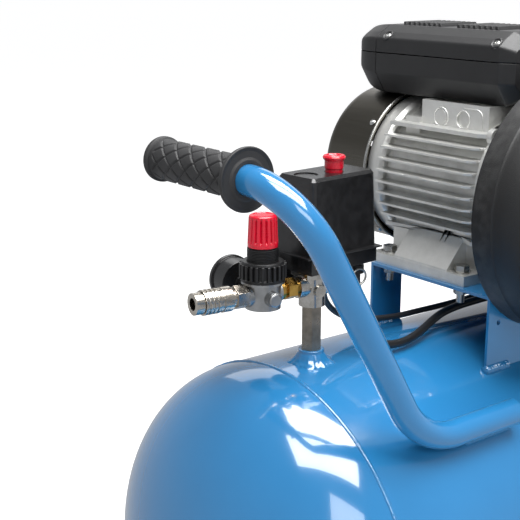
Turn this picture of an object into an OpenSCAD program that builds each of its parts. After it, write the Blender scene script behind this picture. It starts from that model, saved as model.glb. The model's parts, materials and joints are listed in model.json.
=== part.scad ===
// Belt-driven air compressor on a horizontal tank, with its motor, twin-cylinder pump,
// belt guard, handle, pressure switch, regulator and wheels. Millimetres.
// The origin lies on the floor below the middle of the tank. +X points to the wheel end,
// -Y is the belt side. Pieces are drawn about the tank: X from the left weld seam,
// Y and Z from the tank's axis; at_tank() carries them to their place.

/* [Tank] */
// Outer diameter of the tank
tank_d = 370; // [350:1:400]
// Length of the shell between its two weld seams
shell_len = 763; // [740:1:950]
// Depth of each domed head
head_depth = 125.6; // [100:0.1:150]
// Wall of the shell and of the heads
tank_wall = 2.5; // [2:0.1:4]
// How far a head's skirt reaches into the shell
skirt_len = 18; // [10:1:30]
// Clear height under the tank
ground_gap = 60; // [40:1:100]

/* [Tank fittings] */
// Place of the outlet bung along the shell
outlet_x = 38.5; // [36:0.5:60]
// Diameter of a bung
bung_d = 24; // [20:1:30]
// Height of a bung above the shell
bung_rise = 12; // [8:1:20]
// Place of the inlet bung, between motor and pump
inlet_x = 440; // [430:1:460]

/* [Wheels and feet] */
// Outer diameter of a tyre
wheel_d = 160; // [140:1:180]
// Width of a tyre
tyre_w = 36; // [28:1:44]
// Diameter of the wheel disc inside the tyre
rim_d = 116; // [100:1:124]
// Axle diameter
axle_d = 14; // [12:1:20]
// Distance from the right weld seam back to the axle
axle_inset = 63; // [50:1:90]
// How far the axle brackets stand inside the tank's widest point
axle_plate_in = 25; // [20:1:30]
// Diameter of a rubber foot
foot_d = 45; // [30:1:60]
// Height of a rubber foot
foot_h = 25; // [20:1:30]
// Place of the foot bracket along the shell
foot_x = 45; // [35:1:90]

/* [Handle] */
// Diameter of the handle tube
tube_d = 25; // [22:0.5:30]
// Wall of the handle tube
tube_wall = 2; // [1.5:0.1:3]
// Sideways distance of the handle's foot from the tank's axis
handle_y = 133; // [120:1:150]
// Where the foot meets the rising leg, along the shell
handle_bend_x = 48; // [40:1:70]
// Free end of the handle's foot
handle_foot_x = 166; // [120:1:180]
// Place of the grip along the tank, left of the seam
grip_x = -82.4; // [-100:0.1:-60]
// Height of the grip above the tank
grip_rise = 192.6; // [160:0.1:240]
// Diameter of the rubber grip
grip_d = 35; // [32:1:40]
// Diameter of the grip's end flange
grip_flange_d = 52; // [44:1:60]
// Length of the grip
grip_len = 124; // [100:1:140]

/* [Motor bracket] */
// Left end of the bracket
deck_x = 185; // [180:1:200]
// Length of the bracket
deck_len = 515; // [500:1:540]
// Width of the bracket
deck_w = 162; // [150:1:190]
// Height of the bracket's top face above the tank
deck_rise = 53.3; // [45:0.1:70]
// Sheet thickness of the bracket
deck_t = 3; // [2:0.5:5]

/* [Motor] */
// Place of the motor's shaft along the shell
motor_x = 272; // [268:1:290]
// Shaft height above the motor's feet
shaft_h = 90; // [80:1:100]
// Radius over the cooling fins
fin_r = 84; // [80:1:86]
// Outer radius of the housing between fins
housing_r = 70; // [66:1:74]
// Bore radius of the housing
stator_r = 62; // [56:1:64]
// Motor shaft diameter
shaft_d = 24; // [19:1:28]
// Length of the finned housing
housing_len = 125; // [120:1:140]
// Distance between fin centres
fin_pitch = 11.6; // [10:0.1:13]
// Pitch diameter of the motor pulley
pulley_d = 95; // [80:1:110]

/* [Pump] */
// Place of the crankshaft along the shell
pump_x = 612; // [600:1:620]
// Height of the crankshaft above the bracket
crank_h = 105; // [95:1:115]
// Cylinder bore diameter
bore_d = 60; // [50:1:64]
// Distance between the two cylinders
bore_pitch = 80; // [76:1:84]
// Height of the cylinder block
block_h = 100; // [80:1:120]
// Pitch diameter of the flywheel
flywheel_d = 280; // [260:1:290]
// Crankshaft diameter
crank_d = 28; // [24:1:32]

/* [Belt guard] */
// Radius of the guard round the motor pulley
guard_r1 = 121.6; // [110:0.1:130]
// Radius of the guard round the flywheel
guard_r2 = 160; // [156:1:175]
// Distance of the guard's rear face from the middle
guard_y = 86; // [84:1:95]
// Depth of the guard
guard_depth = 62; // [58:1:80]
// Depth of the straight side wall before the rounded front
guard_side = 20; // [14:1:26]
// Wall of the guard
guard_wall = 3; // [2:0.5:4]
// How far the guard's motor end is centred below the motor shaft
guard_drop = 10; // [0:1:15]

/* [Controls] */
// Width across flats of the hexagon nipple
nipple_af = 17; // [15:1:22]
// Height of the nipple between bung and manifold
nipple_h = 42; // [30:1:50]
// Turn of manifold and regulator about the nipple
manifold_turn = -7; // [-15:1:0]
// Distance from the nipple to the regulator
regulator_gap = 51.5; // [50:0.5:60]
// Diameter of the regulator knob
knob_d = 28; // [24:1:32]
// Turn of the pressure switch about the nipple
switch_turn = 4.7; // [0:0.1:10]
// Length of the pressure switch
switch_len = 84; // [78:1:100]
// Width of the pressure switch
switch_w = 50; // [44:1:56]
// Height of the pressure switch
switch_h = 86; // [80:1:100]
// Height of the switch's base below its cover
switch_base_h = 16; // [14:1:24]

/* [Hidden] */
$fn = 64;
tank_r = tank_d / 2;
axis_height = tank_r + ground_gap;
deck_top = tank_r + deck_rise;
grip_z = tank_r + grip_rise;
axle_plate_y = tank_r - axle_plate_in;
run_gap = 0.05;      // radial clearance of a running fit
free_gap = 0.4;      // clearance between pieces that pass each other
eps = 0.01;          // overshoot of a cut past a face
blue = [0.16, 0.51, 0.79];
black = [0.07, 0.07, 0.07];
steel = [0.62, 0.63, 0.64];
brass = [0.78, 0.60, 0.27];
red = [0.72, 0.05, 0.10];
alloy = [0.70, 0.71, 0.72];
dark_steel = [0.42, 0.40, 0.37];
copper = [0.75, 0.45, 0.30];
white = [0.92, 0.92, 0.90];

bung_top = tank_r + bung_rise;
bung_thread_r = 8;
drain_z = -bung_top;
deck_y = -83 + (162 - deck_w) / 2;      // near edge of the bracket
motor_z = deck_top + shaft_h;
pump_z = deck_top + crank_h;
axle_x = shell_len - axle_inset;
axle_z = wheel_d / 2 - axis_height;
foot_plate_z = foot_h - axis_height;
foot_plate_t = 4;
axle_plate_t = 5;
axle_plate_half = 45;
hub_start = axle_plate_y + 3;
hub_len = tyre_w + 6;
hub_end = hub_start + hub_len;
foot_track = 95;                        // sideways distance of each foot
tube_r = tube_d / 2;
handle_z = sqrt(pow(tank_r + tube_r, 2) - pow(handle_y, 2));
leg_bend_r = 75;
grip_bend_r = 60;
grip_corner_y = -126;
grip_y = -67;                           // inner end of the grip
handle_route = [
    [handle_foot_x, -handle_y, handle_z],
    [handle_bend_x, -handle_y, handle_z],
    [grip_x, grip_corner_y, grip_z],
    [grip_x, grip_y + grip_len - 6, grip_z]
];

housing_y = -45;                        // belt-side face of the finned housing
foot_half = 82;                         // half width over the motor's feet
foot_t = 10.5;
bolt_half = 70;                         // motor bolts sit this far each side of the shaft
motor_bolt_y = [-31, 69];
shield_t = 15;
bearing_r = 26;
shaft_r = shaft_d / 2;
cowl_r = 82;
cowl_y = housing_y + housing_len + 17;
cowl_len = 70;
belt_y = -125;                          // plane of the belt
pulley_w = 22;
belt_w = 10;
belt_t = 8;
pulley_r = pulley_d / 2;
flywheel_r = flywheel_d / 2;
crank_r = crank_d / 2;
guard_c1 = [motor_x, motor_z - guard_drop];
guard_c2 = [pump_x, pump_z];
guard_screws = concat(
    [for (a = [100, 180, 260]) guard_c1 + (guard_r1 - guard_wall - 5.5) * [cos(a), sin(a)]],
    [for (a = [45, -20, -80]) guard_c2 + (guard_r2 - guard_wall - 5.5) * [cos(a), sin(a)]]
);

pad_half = 50;                          // terminal pad, half width along the tank
pad_y = -38;
pad_len = 88;
pad_top = motor_z + 79;
lead_gland_z = pad_top - 14.3;
box_half = 50;                          // capacitor box
box_y = -45;
box_len = 165;
box_seam_z = pad_top + 42;
box_top = pad_top + 70;

case_half = 60;                         // crankcase
case_y = -72;
case_len = 150;
case_top = pump_z + 55;
block_top = case_top + block_h;
block_half_x = 48;
block_half_y = 82;
head_h = 42;
crank_throw = 22;
pump_bolt_x = 70;                       // pump bolts, from the crankshaft
pump_bolt_y = 60;

manifold_z = bung_top + nipple_h;       // underside of the manifold
port_z = manifold_z + 18.5;             // axis of its side ports
manifold_h = 33;
switch_z = manifold_z + manifold_h;
switch_off = [23.4, 6.5];               // middle of the switch from the nipple
switch_split = switch_z + switch_base_h;
switch_top = switch_z + switch_h;
knob_off = [27, 1];                     // switch knob from the nipple
reg_r = 16;
reg_base = port_z - 13;
reg_rim = port_z + 12;
ring_top = port_z + 30;
bonnet_top = port_z + 42;
knob_h = 29;
gauge_r = 20;
gauge_back = 38;                        // case's rear face from the port axis
gauge_t = 24;
coupler_x = -reg_r - 1.5;               // inner end of the coupler, from the regulator
coupler_len = 52;
sleeve_d = 22.5;
sleeve_travel = 4;
socket_d = 11;
dial_y = gauge_back + gauge_t - 9;

// Route of the motor's lead: from the switch's gland, down behind the handle to the tank,
// under the bracket and up beside the motor into the terminal pad
lead_d = 8;
lead_route = [
    [97, 5, 258], [97, 5, 249], [97, 1, 238], [94, -8, 226], [91, -17, 215], [92, -23, 204],
    [100, -26, 196], [114, -27, 192], [132, -26, 191], [150, -22, 192], [170, -15, 194],
    [190, -8, 197], [210, -2, 199], [235, 2, 200], [260, 4, 200], [285, 5, 200], [310, 5, 200],
    [332, 5, 202], [350, 5, 208], [364, 5, 218], [372, 5, 231], [375, 5, 246], [377, 5, 264],
    [378, 5, 284], [379, 5, 304], [379, 5, 324], [379, 5, 344], [378, 5, 360], [374, 5, 374],
    [366, 5, 388], [354, 5, 393], [341, 5, 393]
];
// Route of the unloader tube: from the switch's relief valve to the check valve
unloader_d = 6;
unloader_route = [
    [74, 22, 262], [74, 22, 253], [76, 27, 242], [82, 33, 230], [91, 37, 219], [103, 39, 209],
    [118, 39, 201], [136, 37, 196], [156, 34, 194], [178, 31, 193], [202, 28, 194],
    [228, 25, 195], [256, 23, 196], [284, 22, 197], [312, 20, 198], [340, 17, 200],
    [364, 12, 204], [384, 7, 209], [402, 3, 213], [416, 0, 214], [426, 0, 214]
];

// ---- helpers ----

module at_tank() {
    translate([-shell_len / 2, 0, axis_height]) children();
}

// Cylinder whose axis runs along +X, +Y or +Z from a point
module rod_x(p, len, r) {
    translate(p) rotate([0, 90, 0]) cylinder(r = r, h = len);
}
module rod_y(p, len, r) {
    translate(p) rotate([-90, 0, 0]) cylinder(r = r, h = len);
}
module rod_z(p, len, r) {
    translate(p) cylinder(r = r, h = len);
}
module hex_z(p, len, af) {
    translate(p) cylinder(d = af / cos(30), h = len, $fn = 6);
}
module hex_x(p, len, af) {
    translate(p) rotate([0, 90, 0]) cylinder(d = af / cos(30), h = len, $fn = 6);
}
module box(lo, hi) {
    translate(lo) cube(hi - lo);
}
module tank_solid(grow = 0) {
    rod_x([-eps, 0, 0], shell_len + 2 * eps, tank_r + grow);
}

function unit(v) = v / norm(v);

// Carries a shape to point p with its x, y and z axes along u, v and w
module place(p, u, v, w) {
    multmatrix([
        [u.x, v.x, w.x, p.x], [u.y, v.y, w.y, p.y], [u.z, v.z, w.z, p.z], [0, 0, 0, 1]
    ]) children();
}

function across(d) = unit(cross(d, abs(d.z) < 0.9 ? [0, 0, 1] : [1, 0, 0]));

module ring(r, bore) {
    difference() {
        circle(r = r);
        if (bore > 0) circle(r = bore);
    }
}

module straight(a, b, r, bore = 0) {
    d = unit(b - a);
    u = across(d);
    place(a, u, cross(d, u), d) linear_extrude(height = norm(b - a)) ring(r, bore);
}

// Bent bar or pipe through the route's corners, each rounded to its bend radius
module bent_rod(route, bends, r, bore = 0) {
    last = len(route) - 1;
    dirs = [for (i = [0:last - 1]) unit(route[i + 1] - route[i])];
    turns = [for (i = [1:last - 1]) acos(dirs[i - 1] * dirs[i])];
    cuts = [0, for (i = [0:last - 2]) bends[i] * tan(turns[i] / 2), 0];
    for (i = [0:last - 1]) {
        straight(route[i] + dirs[i] * cuts[i], route[i + 1] - dirs[i] * cuts[i + 1], r, bore);
    }
    for (i = [1:last - 1]) {
        d = dirs[i - 1];
        inward = unit(dirs[i] - d * (d * dirs[i]));
        centre = route[i] - d * cuts[i] + inward * bends[i - 1];
        place(centre, -inward, d, cross(-inward, d))
            rotate_extrude(angle = turns[i - 1]) translate([bends[i - 1], 0]) ring(r, bore);
    }
}

// Round cable swept through its route's points, closed at both ends
module swept(route, d, sides = 8) {
    n = len(route);
    tangents = [for (i = [0:n - 1]) unit(route[min(i + 1, n - 1)] - route[max(i - 1, 0)])];
    points = [for (i = [0:n - 1])
        let (t = tangents[i], side = unit(cross(t, [0.13, 0.97, 0.2])), up = cross(side, t))
        for (k = [0:sides - 1])
            route[i] + d / 2 * (side * cos(360 * k / sides) + up * sin(360 * k / sides))];
    walls = [for (i = [0:n - 2]) for (k = [0:sides - 1])
        let (j = (k + 1) % sides)
        [i * sides + k, i * sides + j, (i + 1) * sides + j, (i + 1) * sides + k]];
    ends = [[for (k = [sides - 1:-1:0]) k], [for (k = [0:sides - 1]) (n - 1) * sides + k]];
    polyhedron(points = points, faces = concat(walls, ends), convexity = 6);
}

// Points of a route whose corners are rounded to their bend radii
function bend_points(before, corner, after, radius, steps) =
    let (
        d = unit(corner - before),
        e = unit(after - corner),
        turn = acos(d * e),
        inward = unit(e - d * (d * e)),
        centre = corner - d * radius * tan(turn / 2) + inward * radius
    )
    [for (i = [0:steps]) let (a = turn * i / steps)
        centre + radius * (d * sin(a) - inward * cos(a))];

// Hollow bent tube, as one closed mesh of flat strips
module bent_tube(points, r, bore, sides = 24) {
    n = len(points);
    tangents = [for (i = [0:n - 1]) unit(points[min(i + 1, n - 1)] - points[max(i - 1, 0)])];
    ring_points = [for (radius = [r, bore]) for (i = [0:n - 1])
        let (t = tangents[i], side = unit(cross(t, [0.13, -0.97, 0.5])), up = cross(side, t))
        for (k = [0:sides - 1])
            points[i] + radius * (side * cos(360 * k / sides) + up * sin(360 * k / sides))];
    inner = n * sides;
    outer_walls = [for (i = [0:n - 2]) for (k = [0:sides - 1])
        let (a = i * sides + k, b = i * sides + (k + 1) % sides)
        each [[a, b, b + sides], [a, b + sides, a + sides]]];
    inner_walls = [for (f = outer_walls) [f[2] + inner, f[1] + inner, f[0] + inner]];
    rims = [for (k = [0:sides - 1])
        let (j = (k + 1) % sides, e = (n - 1) * sides)
        each [[k, k + inner, j + inner], [k, j + inner, j],
              [e + j, e + j + inner, e + k + inner], [e + j, e + k + inner, e + k]]];
    polyhedron(points = ring_points, faces = concat(outer_walls, inner_walls, rims), convexity = 6);
}

// Outline of a belt or guard round two centres on the plane of X and Z
function arc_points(c, r, a0, a1, steps) =
    [for (i = [0:steps]) let (a = a0 + (a1 - a0) * i / steps) c + r * [cos(a), sin(a)]];

module loop_outline(r1, r2, drop = 0) {
    c1 = [motor_x, motor_z - drop];
    c2 = [pump_x, pump_z];
    lean = atan2(c2.y - c1.y, c2.x - c1.x);
    open = acos((r1 - r2) / norm(c2 - c1));
    polygon(concat(
        arc_points(c1, r1, lean + open, lean + 360 - open, 60),
        arc_points(c2, r2, lean - open, lean + open, 72)
    ));
}

// Stands a drawing on the plane of X and Z, thick along -Y from y
module upright(y, thick) {
    translate([0, y, 0]) rotate([90, 0, 0]) linear_extrude(height = thick) children();
}

module at_nipple(turn) {
    at_tank() translate([outlet_x, 0, 0]) rotate(turn) children();
}
module at_regulator() {
    at_nipple(manifold_turn) translate([-regulator_gap, 0, 0]) children();
}
module at_motor() {
    at_tank() translate([motor_x, 0, motor_z]) children();
}
module at_pump() {
    at_tank() translate([pump_x, 0, pump_z]) children();
}

// ---- tank ----

module tank_shell() at_tank() color(blue) {
    difference() {
        rod_x([0, 0, 0], shell_len, tank_r);
        rod_x([-eps, 0, 0], shell_len + 2 * eps, tank_r - tank_wall);
        for (x = [outlet_x, inlet_x]) rod_z([x, 0, 0], tank_r + 5, bung_d / 2);
        rod_z([shell_len / 2, 0, -tank_r - 5], tank_r, bung_d / 2);
    }
}

module head(depth = head_depth) {
    steps = 24;
    inner_r = tank_r - tank_wall;
    outer = [for (i = [0:steps]) [tank_r * sin(90 * i / steps), -depth * cos(90 * i / steps)]];
    inner = [for (i = [steps:-1:0])
        [(inner_r - tank_wall) * sin(90 * i / steps), -(depth - tank_wall) * cos(90 * i / steps)]];
    skirt = [[inner_r, 0], [inner_r, skirt_len], [inner_r - tank_wall, skirt_len]];
    rotate([0, 90, 0]) rotate_extrude() polygon(concat(outer, skirt, inner));
}

module head_left() at_tank() color(blue) head();
module head_right() at_tank() color(blue) translate([shell_len, 0, 0]) mirror([1, 0, 0]) head();

module bung() {
    root = tank_r - tank_wall - 4;
    difference() {
        union() {
            rod_z([0, 0, root], bung_top - root, bung_d / 2);
            difference() {
                translate([0, 0, tank_r - 3]) cylinder(r1 = bung_d / 2 + 7, r2 = bung_d / 2, h = 10);
                rod_x([-40, 0, 0], 80, tank_r);
            }
        }
        rod_z([0, 0, root - 1], bung_top - root + 2, bung_thread_r);
    }
}

module tank_bungs() at_tank() color(blue) {
    for (x = [outlet_x, inlet_x]) translate([x, 0, 0]) bung();
    translate([shell_len / 2, 0, 0]) rotate([180, 0, 0]) bung();
}

// ---- brackets, feet and wheels ----

module base_brackets() at_tank() color(blue) {
    difference() {
        union() {
            box([foot_x - 22, -foot_track - 26, foot_plate_z],
                [foot_x + 22, foot_track + 26, foot_plate_z + foot_plate_t]);
            for (s = [-1, 1]) {
                box([foot_x - 22, s * 62 - 2, foot_plate_z + 1], [foot_x + 22, s * 62 + 2, -150]);
            }
        }
        tank_solid();
        for (s = [-1, 1]) rod_z([foot_x, s * foot_track, foot_plate_z - 5], 20, 4);
    }
    for (s = [-1, 1]) difference() {
        union() {
            box([axle_x - axle_plate_half, min(s * axle_plate_y, s * (axle_plate_y - axle_plate_t)),
                 axle_z - 20],
                [axle_x + axle_plate_half, max(s * axle_plate_y, s * (axle_plate_y - axle_plate_t)),
                 -60]);
            box([axle_x - axle_plate_half, min(s * axle_plate_y, s * (axle_plate_y - 34)),
                 axle_z - 20],
                [axle_x + axle_plate_half, max(s * axle_plate_y, s * (axle_plate_y - 34)),
                 axle_z - 16]);
        }
        tank_solid();
        rod_y([axle_x, s * axle_plate_y - 20, axle_z], 40, axle_d / 2);
    }
}

module rubber_feet() at_tank() color(black) {
    for (s = [-1, 1]) difference() {
        union() {
            rod_z([foot_x, s * foot_track, -axis_height], foot_h, foot_d / 2 - 2);
            rod_z([foot_x, s * foot_track, -axis_height], foot_h * 0.6, foot_d / 2);
        }
        rod_z([foot_x, s * foot_track, -axis_height - 1], foot_h + 2, 4);
        rod_z([foot_x, s * foot_track, -axis_height - 1], 11, 9);
    }
}

module side_copy(s) {
    if (s > 0) children();
    else mirror([0, 1, 0]) children();
}

module axle_bolts() at_tank() color(steel) {
    for (s = [-1, 1]) side_copy(s) {
        rod_y([axle_x, axle_plate_y - axle_plate_t - 8, axle_z], hub_end - axle_plate_y + 24, axle_d / 2);
        translate([axle_x, axle_plate_y - axle_plate_t - 8, axle_z]) rotate([-90, 0, 0])
            cylinder(d = 22 / cos(30), h = 8, $fn = 6);
        rod_y([axle_x, axle_plate_y, axle_z], hub_start - free_gap - axle_plate_y, 12);
        rod_y([axle_x, hub_end + free_gap, axle_z], 2, 13);
        translate([axle_x, hub_end + free_gap + 2, axle_z]) rotate([-90, 0, 0])
            cylinder(d = 22 / cos(30), h = 7, $fn = 6);
    }
}

module wheel() {
    mid = hub_start + hub_len / 2;
    difference() {
        union() {
            rod_y([axle_x, mid - tyre_w / 2 + 2, axle_z], tyre_w - 4, rim_d / 2);
            rod_y([axle_x, hub_start, axle_z], hub_len, 17);
        }
        difference() {
            union() {
                rod_y([axle_x, mid - tyre_w / 2, axle_z], tyre_w / 2 - 5, rim_d / 2 - 6);
                rod_y([axle_x, mid + 5, axle_z], tyre_w / 2, rim_d / 2 - 6);
            }
            rod_y([axle_x, hub_start - 1, axle_z], hub_len + 2, 17);
        }
        rod_y([axle_x, hub_start - 1, axle_z], hub_len + 2, axle_d / 2 + run_gap);
        for (a = [0:60:300]) translate([axle_x, 0, axle_z]) rotate([0, a, 0])
            rod_y([(rim_d / 2 - 6 + 17) / 2, mid - 10, 0], 20, 9);
    }
}

module tyre() {
    mid = hub_start + hub_len / 2;
    w = tyre_w / 2;
    r = wheel_d / 2;
    translate([axle_x, mid, axle_z]) rotate([-90, 0, 0]) rotate_extrude() polygon([
        [rim_d / 2, 2 - w], [r - 9, -w], [r - 3, 3 - w], [r, 9 - w],
        [r, w - 9], [r - 3, w - 3], [r - 9, w], [rim_d / 2, w - 2]
    ]);
}

module wheel_near() at_tank() color(black) side_copy(-1) wheel();
module wheel_far() at_tank() color(black) side_copy(1) wheel();
module tyre_near() at_tank() color([0.12, 0.12, 0.12]) side_copy(-1) tyre();
module tyre_far() at_tank() color([0.12, 0.12, 0.12]) side_copy(1) tyre();

// ---- bracket for motor and pump ----

module machine_bracket() at_tank() color(blue) {
    far_y = deck_y + deck_w;
    difference() {
        box([deck_x, deck_y, 0], [deck_x + deck_len, far_y, deck_top]);
        box([deck_x - 1, deck_y + deck_t, -1], [deck_x + deck_len + 1, far_y - deck_t, deck_top - deck_t]);
        tank_solid();
        // windows that lighten the two side flanges
        for (x = [[275, 400], [470, 575]])
            box([x[0], deck_y - 1, 100], [x[1], deck_y + deck_t + 1, deck_top - 12]);
        for (x = [[227, 400], [470, 575]])
            box([x[0], far_y - deck_t - 1, 100], [x[1], far_y + 1, deck_top - 12]);
        rod_z([inlet_x, 0, deck_top - 10], 20, 26);
        rod_z([375, 5, deck_top - 10], 20, 8);
        for (x = [-bolt_half, bolt_half], y = motor_bolt_y)
            rod_z([motor_x + x, y, deck_top - 10], 20, 4);
        for (x = [-1, 1], y = [-1, 1])
            rod_z([pump_x + x * pump_bolt_x, y * pump_bolt_y, deck_top - 10], 20, 4);
        rod_y([deck_x + 14, deck_y - 1, deck_top - 27], deck_t + 2, 2.5);
    }
}

// ---- handle ----

module handle_tube() at_tank() color(blue) {
    r = handle_route;
    bent_tube(concat(
        [r[0]], bend_points(r[0], r[1], r[2], leg_bend_r, 8),
        bend_points(r[1], r[2], r[3], grip_bend_r, 10), [r[3]]
    ), tube_r, tube_r - tube_wall);
}

module handle_grip() at_tank() color(black) difference() {
    union() {
        rod_y([grip_x, grip_y, grip_z], grip_len, grip_d / 2);
        rod_y([grip_x, grip_y, grip_z], 6, grip_flange_d / 2);
        rod_y([grip_x, grip_y + grip_len - 5, grip_z], 5, grip_d / 2 + 2);
    }
    rod_y([grip_x, grip_y - 1, grip_z], grip_len - 5, tube_r + run_gap);
}

// ---- manifold, regulator and gauges ----

module hex_nipple() at_nipple(manifold_turn) color(steel) difference() {
    union() {
        hex_z([0, 0, bung_top], nipple_h, nipple_af);
        rod_z([0, 0, bung_top - 10], nipple_h + 20, bung_thread_r);
    }
    rod_z([0, 0, bung_top - 11], nipple_h + 22, 5);
}

module manifold() at_nipple(manifold_turn) color(alloy) difference() {
    union() {
        rod_z([0, 0, manifold_z], manifold_h - 5, 12);
        box([-14, -14, manifold_z + manifold_h - 6], [14, 14, manifold_z + manifold_h]);
        rod_x([-17, 0, port_z], 34, 10);
        rod_y([0, -15, port_z - 3], 15, 5.5);
        rod_y([0, 0, port_z], 17, 9);
    }
    rod_z([0, 0, manifold_z - 1], manifold_h + 2, bung_thread_r);
    rod_x([-18, 0, port_z], 36, 6);
    rod_y([0, 0, port_z], 18, 4.5);
}

// Brass fittings: nipple between manifold and regulator, and the check valve on the tank
module brass_fittings() {
    at_nipple(manifold_turn) color(brass) difference() {
        union() {
            rod_x([-regulator_gap + reg_r - 3, 0, port_z], regulator_gap - reg_r - 17 + 11, 6);
            hex_x([-29, 0, port_z], 9, 17);
            rod_x([-regulator_gap + reg_r, 0, port_z], 3, 9);
        }
        rod_x([-60, 0, port_z], 60, 3);
    }
    at_tank() translate([inlet_x, 0, 0]) color(brass) {
        rod_z([0, 0, bung_top - 10], 10, bung_thread_r);
        hex_z([0, 0, bung_top], 14, 24);
        rod_z([0, 0, bung_top + 14], 30, 11);
        hex_z([0, 0, bung_top + 44], 12, 22);
        rod_x([-14, 0, bung_top + 17], 10, 5);
    }
}

module safety_valve() at_nipple(manifold_turn) color(brass) difference() {
    union() {
        rod_x([8, 0, port_z], 9, 6);
        hex_x([17, 0, port_z], 8, 17);
        rod_x([25, 0, port_z], 16, 7);
    }
    rod_x([30, 0, port_z], 12, 2 + run_gap);
}

module safety_ring() at_nipple(manifold_turn) color(steel) {
    rod_x([33, 0, port_z], 12, 2);
    translate([52, 0, port_z]) rotate([90, 0, 0]) rotate_extrude() translate([7.5, 0]) circle(r = 1);
}

module gauge_case() {
    difference() {
        union() {
            rod_y([0, gauge_back, port_z], gauge_t, gauge_r);
            rod_y([0, gauge_back + gauge_t - 5, port_z], 4, gauge_r + 1.5);
            rod_y([0, 17, port_z], gauge_back - 17, 6);
        }
        rod_y([0, gauge_back + 3, port_z], gauge_t, gauge_r - 2);
    }
}
module both_gauges() {
    at_nipple(manifold_turn) children();
    at_regulator() children();
}
module gauge_cases() both_gauges() color(black) gauge_case();
module gauge_dials() both_gauges() color(white) difference() {
    rod_y([0, gauge_back + 3, port_z], dial_y - gauge_back - 2, gauge_r - 2);
    rod_y([0, dial_y - 2, port_z], 5, 1 + run_gap);
}
module gauge_lenses() both_gauges() color([0.85, 0.9, 0.92, 0.4])
    rod_y([0, gauge_back + gauge_t - 2.5, port_z], 2, gauge_r - 2);
module needle() color(red) {
    rod_y([0, dial_y - 1.5, port_z], 4, 1);
    // the needle points to zero, at the lower left of the dial seen from its front
    translate([0, dial_y + 1.6, port_z]) rotate([0, 45, 0]) box([-1, 0, -14], [1, 0.8, 4]);
}
module needle_tank() at_nipple(manifold_turn) needle();
module needle_line() at_regulator() needle();

module regulator_body() at_regulator() color(alloy) difference() {
    union() {
        rod_z([0, 0, reg_base], reg_rim - reg_base, reg_r);
        rod_z([0, 0, reg_rim - 2], 2, 19.5);
        rod_x([-reg_r - 1.5, 0, port_z - 1], 2 * reg_r + 1.5, 9.5);
        rod_y([0, -reg_r - 5, port_z - 1.5], reg_r + 22, 7);
    }
    rod_z([0, 0, reg_base + 3], 30, 11.5);
    rod_x([-regulator_gap, 0, port_z], 2 * regulator_gap, 6);
}

// Ring nut with coarse teeth round its edge
module ring_nut() at_regulator() color(black) difference() {
    union() {
        rod_z([0, 0, reg_rim], ring_top - reg_rim, 20);
        for (a = [0:15:345]) rotate(a) translate([20, 0, reg_rim + 1])
            cylinder(r = 1.2, h = ring_top - reg_rim - 3);
    }
    rod_z([0, 0, reg_rim - 1], ring_top - reg_rim + 2, 14);
}

module regulator_bonnet() at_regulator() color(black) difference() {
    union() {
        rod_z([0, 0, reg_rim], bonnet_top - reg_rim, 14);
        rod_z([0, 0, bonnet_top], 3, 5);
    }
    rod_z([0, 0, reg_rim - 1], bonnet_top - reg_rim - 3, 11);
}

module regulator_knob() at_regulator() color(red) {
    base = bonnet_top + free_gap;
    difference() {
        union() {
            rod_z([0, 0, base], knob_h - 2, knob_d / 2 - 0.8);
            rod_z([0, 0, base], knob_h, knob_d / 2 - 3);
            for (a = [0:20:340]) rotate(a) translate([knob_d / 2 - 2, 0, base + 3])
                cylinder(r = 1.6, h = knob_h - 6);
        }
        rod_z([0, 0, base - 1], 5, 5 + run_gap);
    }
}

module coupler_body() at_regulator() color(steel) difference() {
    tip = coupler_x - coupler_len;
    union() {
        hex_x([coupler_x - 12, 0, port_z], 12, 19);
        rod_x([coupler_x, 0, port_z], 8, 6);
        rod_x([tip + 8, 0, port_z], coupler_len - 12, sleeve_d / 2 - 3);
        rod_x([tip, 0, port_z], 8, sleeve_d / 2 - 1.5);
    }
    rod_x([tip - 1, 0, port_z], 25, socket_d / 2);
    rod_x([tip, 0, port_z], coupler_len + 12, 3);
}

module coupler_sleeve() at_regulator() color(steel) difference() {
    start = coupler_x - coupler_len + 8 + free_gap;
    sleeve_len = coupler_len - 12 - 8 - sleeve_travel - 2 * free_gap;
    union() {
        rod_x([start, 0, port_z], sleeve_len, sleeve_d / 2 - 0.8);
        for (x = [0, 4, 8, 12, sleeve_len - 9]) {
            rod_x([start + x, 0, port_z], x > 12 ? 9 : 2.6, sleeve_d / 2);
        }
    }
    rod_x([start - 1, 0, port_z], sleeve_len + 2, sleeve_d / 2 - 3 + run_gap);
}

// ---- pressure switch ----

module switch_block(len, width, z0, z1, draft = 0) {
    round_r = 5;
    hull() for (x = [-1, 1], y = [-1, 1]) {
        translate([switch_off.x + x * (len / 2 - round_r), switch_off.y + y * (width / 2 - round_r), z0])
            cylinder(r = round_r, h = 0.1, $fn = 32);
        translate([switch_off.x + x * (len / 2 - round_r - draft),
                   switch_off.y + y * (width / 2 - round_r - draft), z1 - 3])
            cylinder(r1 = round_r, r2 = round_r - 2.5, h = 3, $fn = 32);
    }
}

module switch_base() at_nipple(switch_turn) color(black) {
    wall = 2.5;
    lo = [switch_off.x - switch_len / 2, switch_off.y - switch_w / 2, switch_z];
    hi = [switch_off.x + switch_len / 2, switch_off.y + switch_w / 2, switch_split];
    difference() {
        box(lo, hi);
        box(lo + [wall, wall, wall], [hi.x - wall, hi.y - wall, hi.z + 1]);
        rod_z([0, 0, switch_z - 1], wall + 2, bung_thread_r);
    }
    // diaphragm housing that takes the manifold's air
    rod_z([0, 0, switch_z + wall], 8, 14);
}

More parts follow.
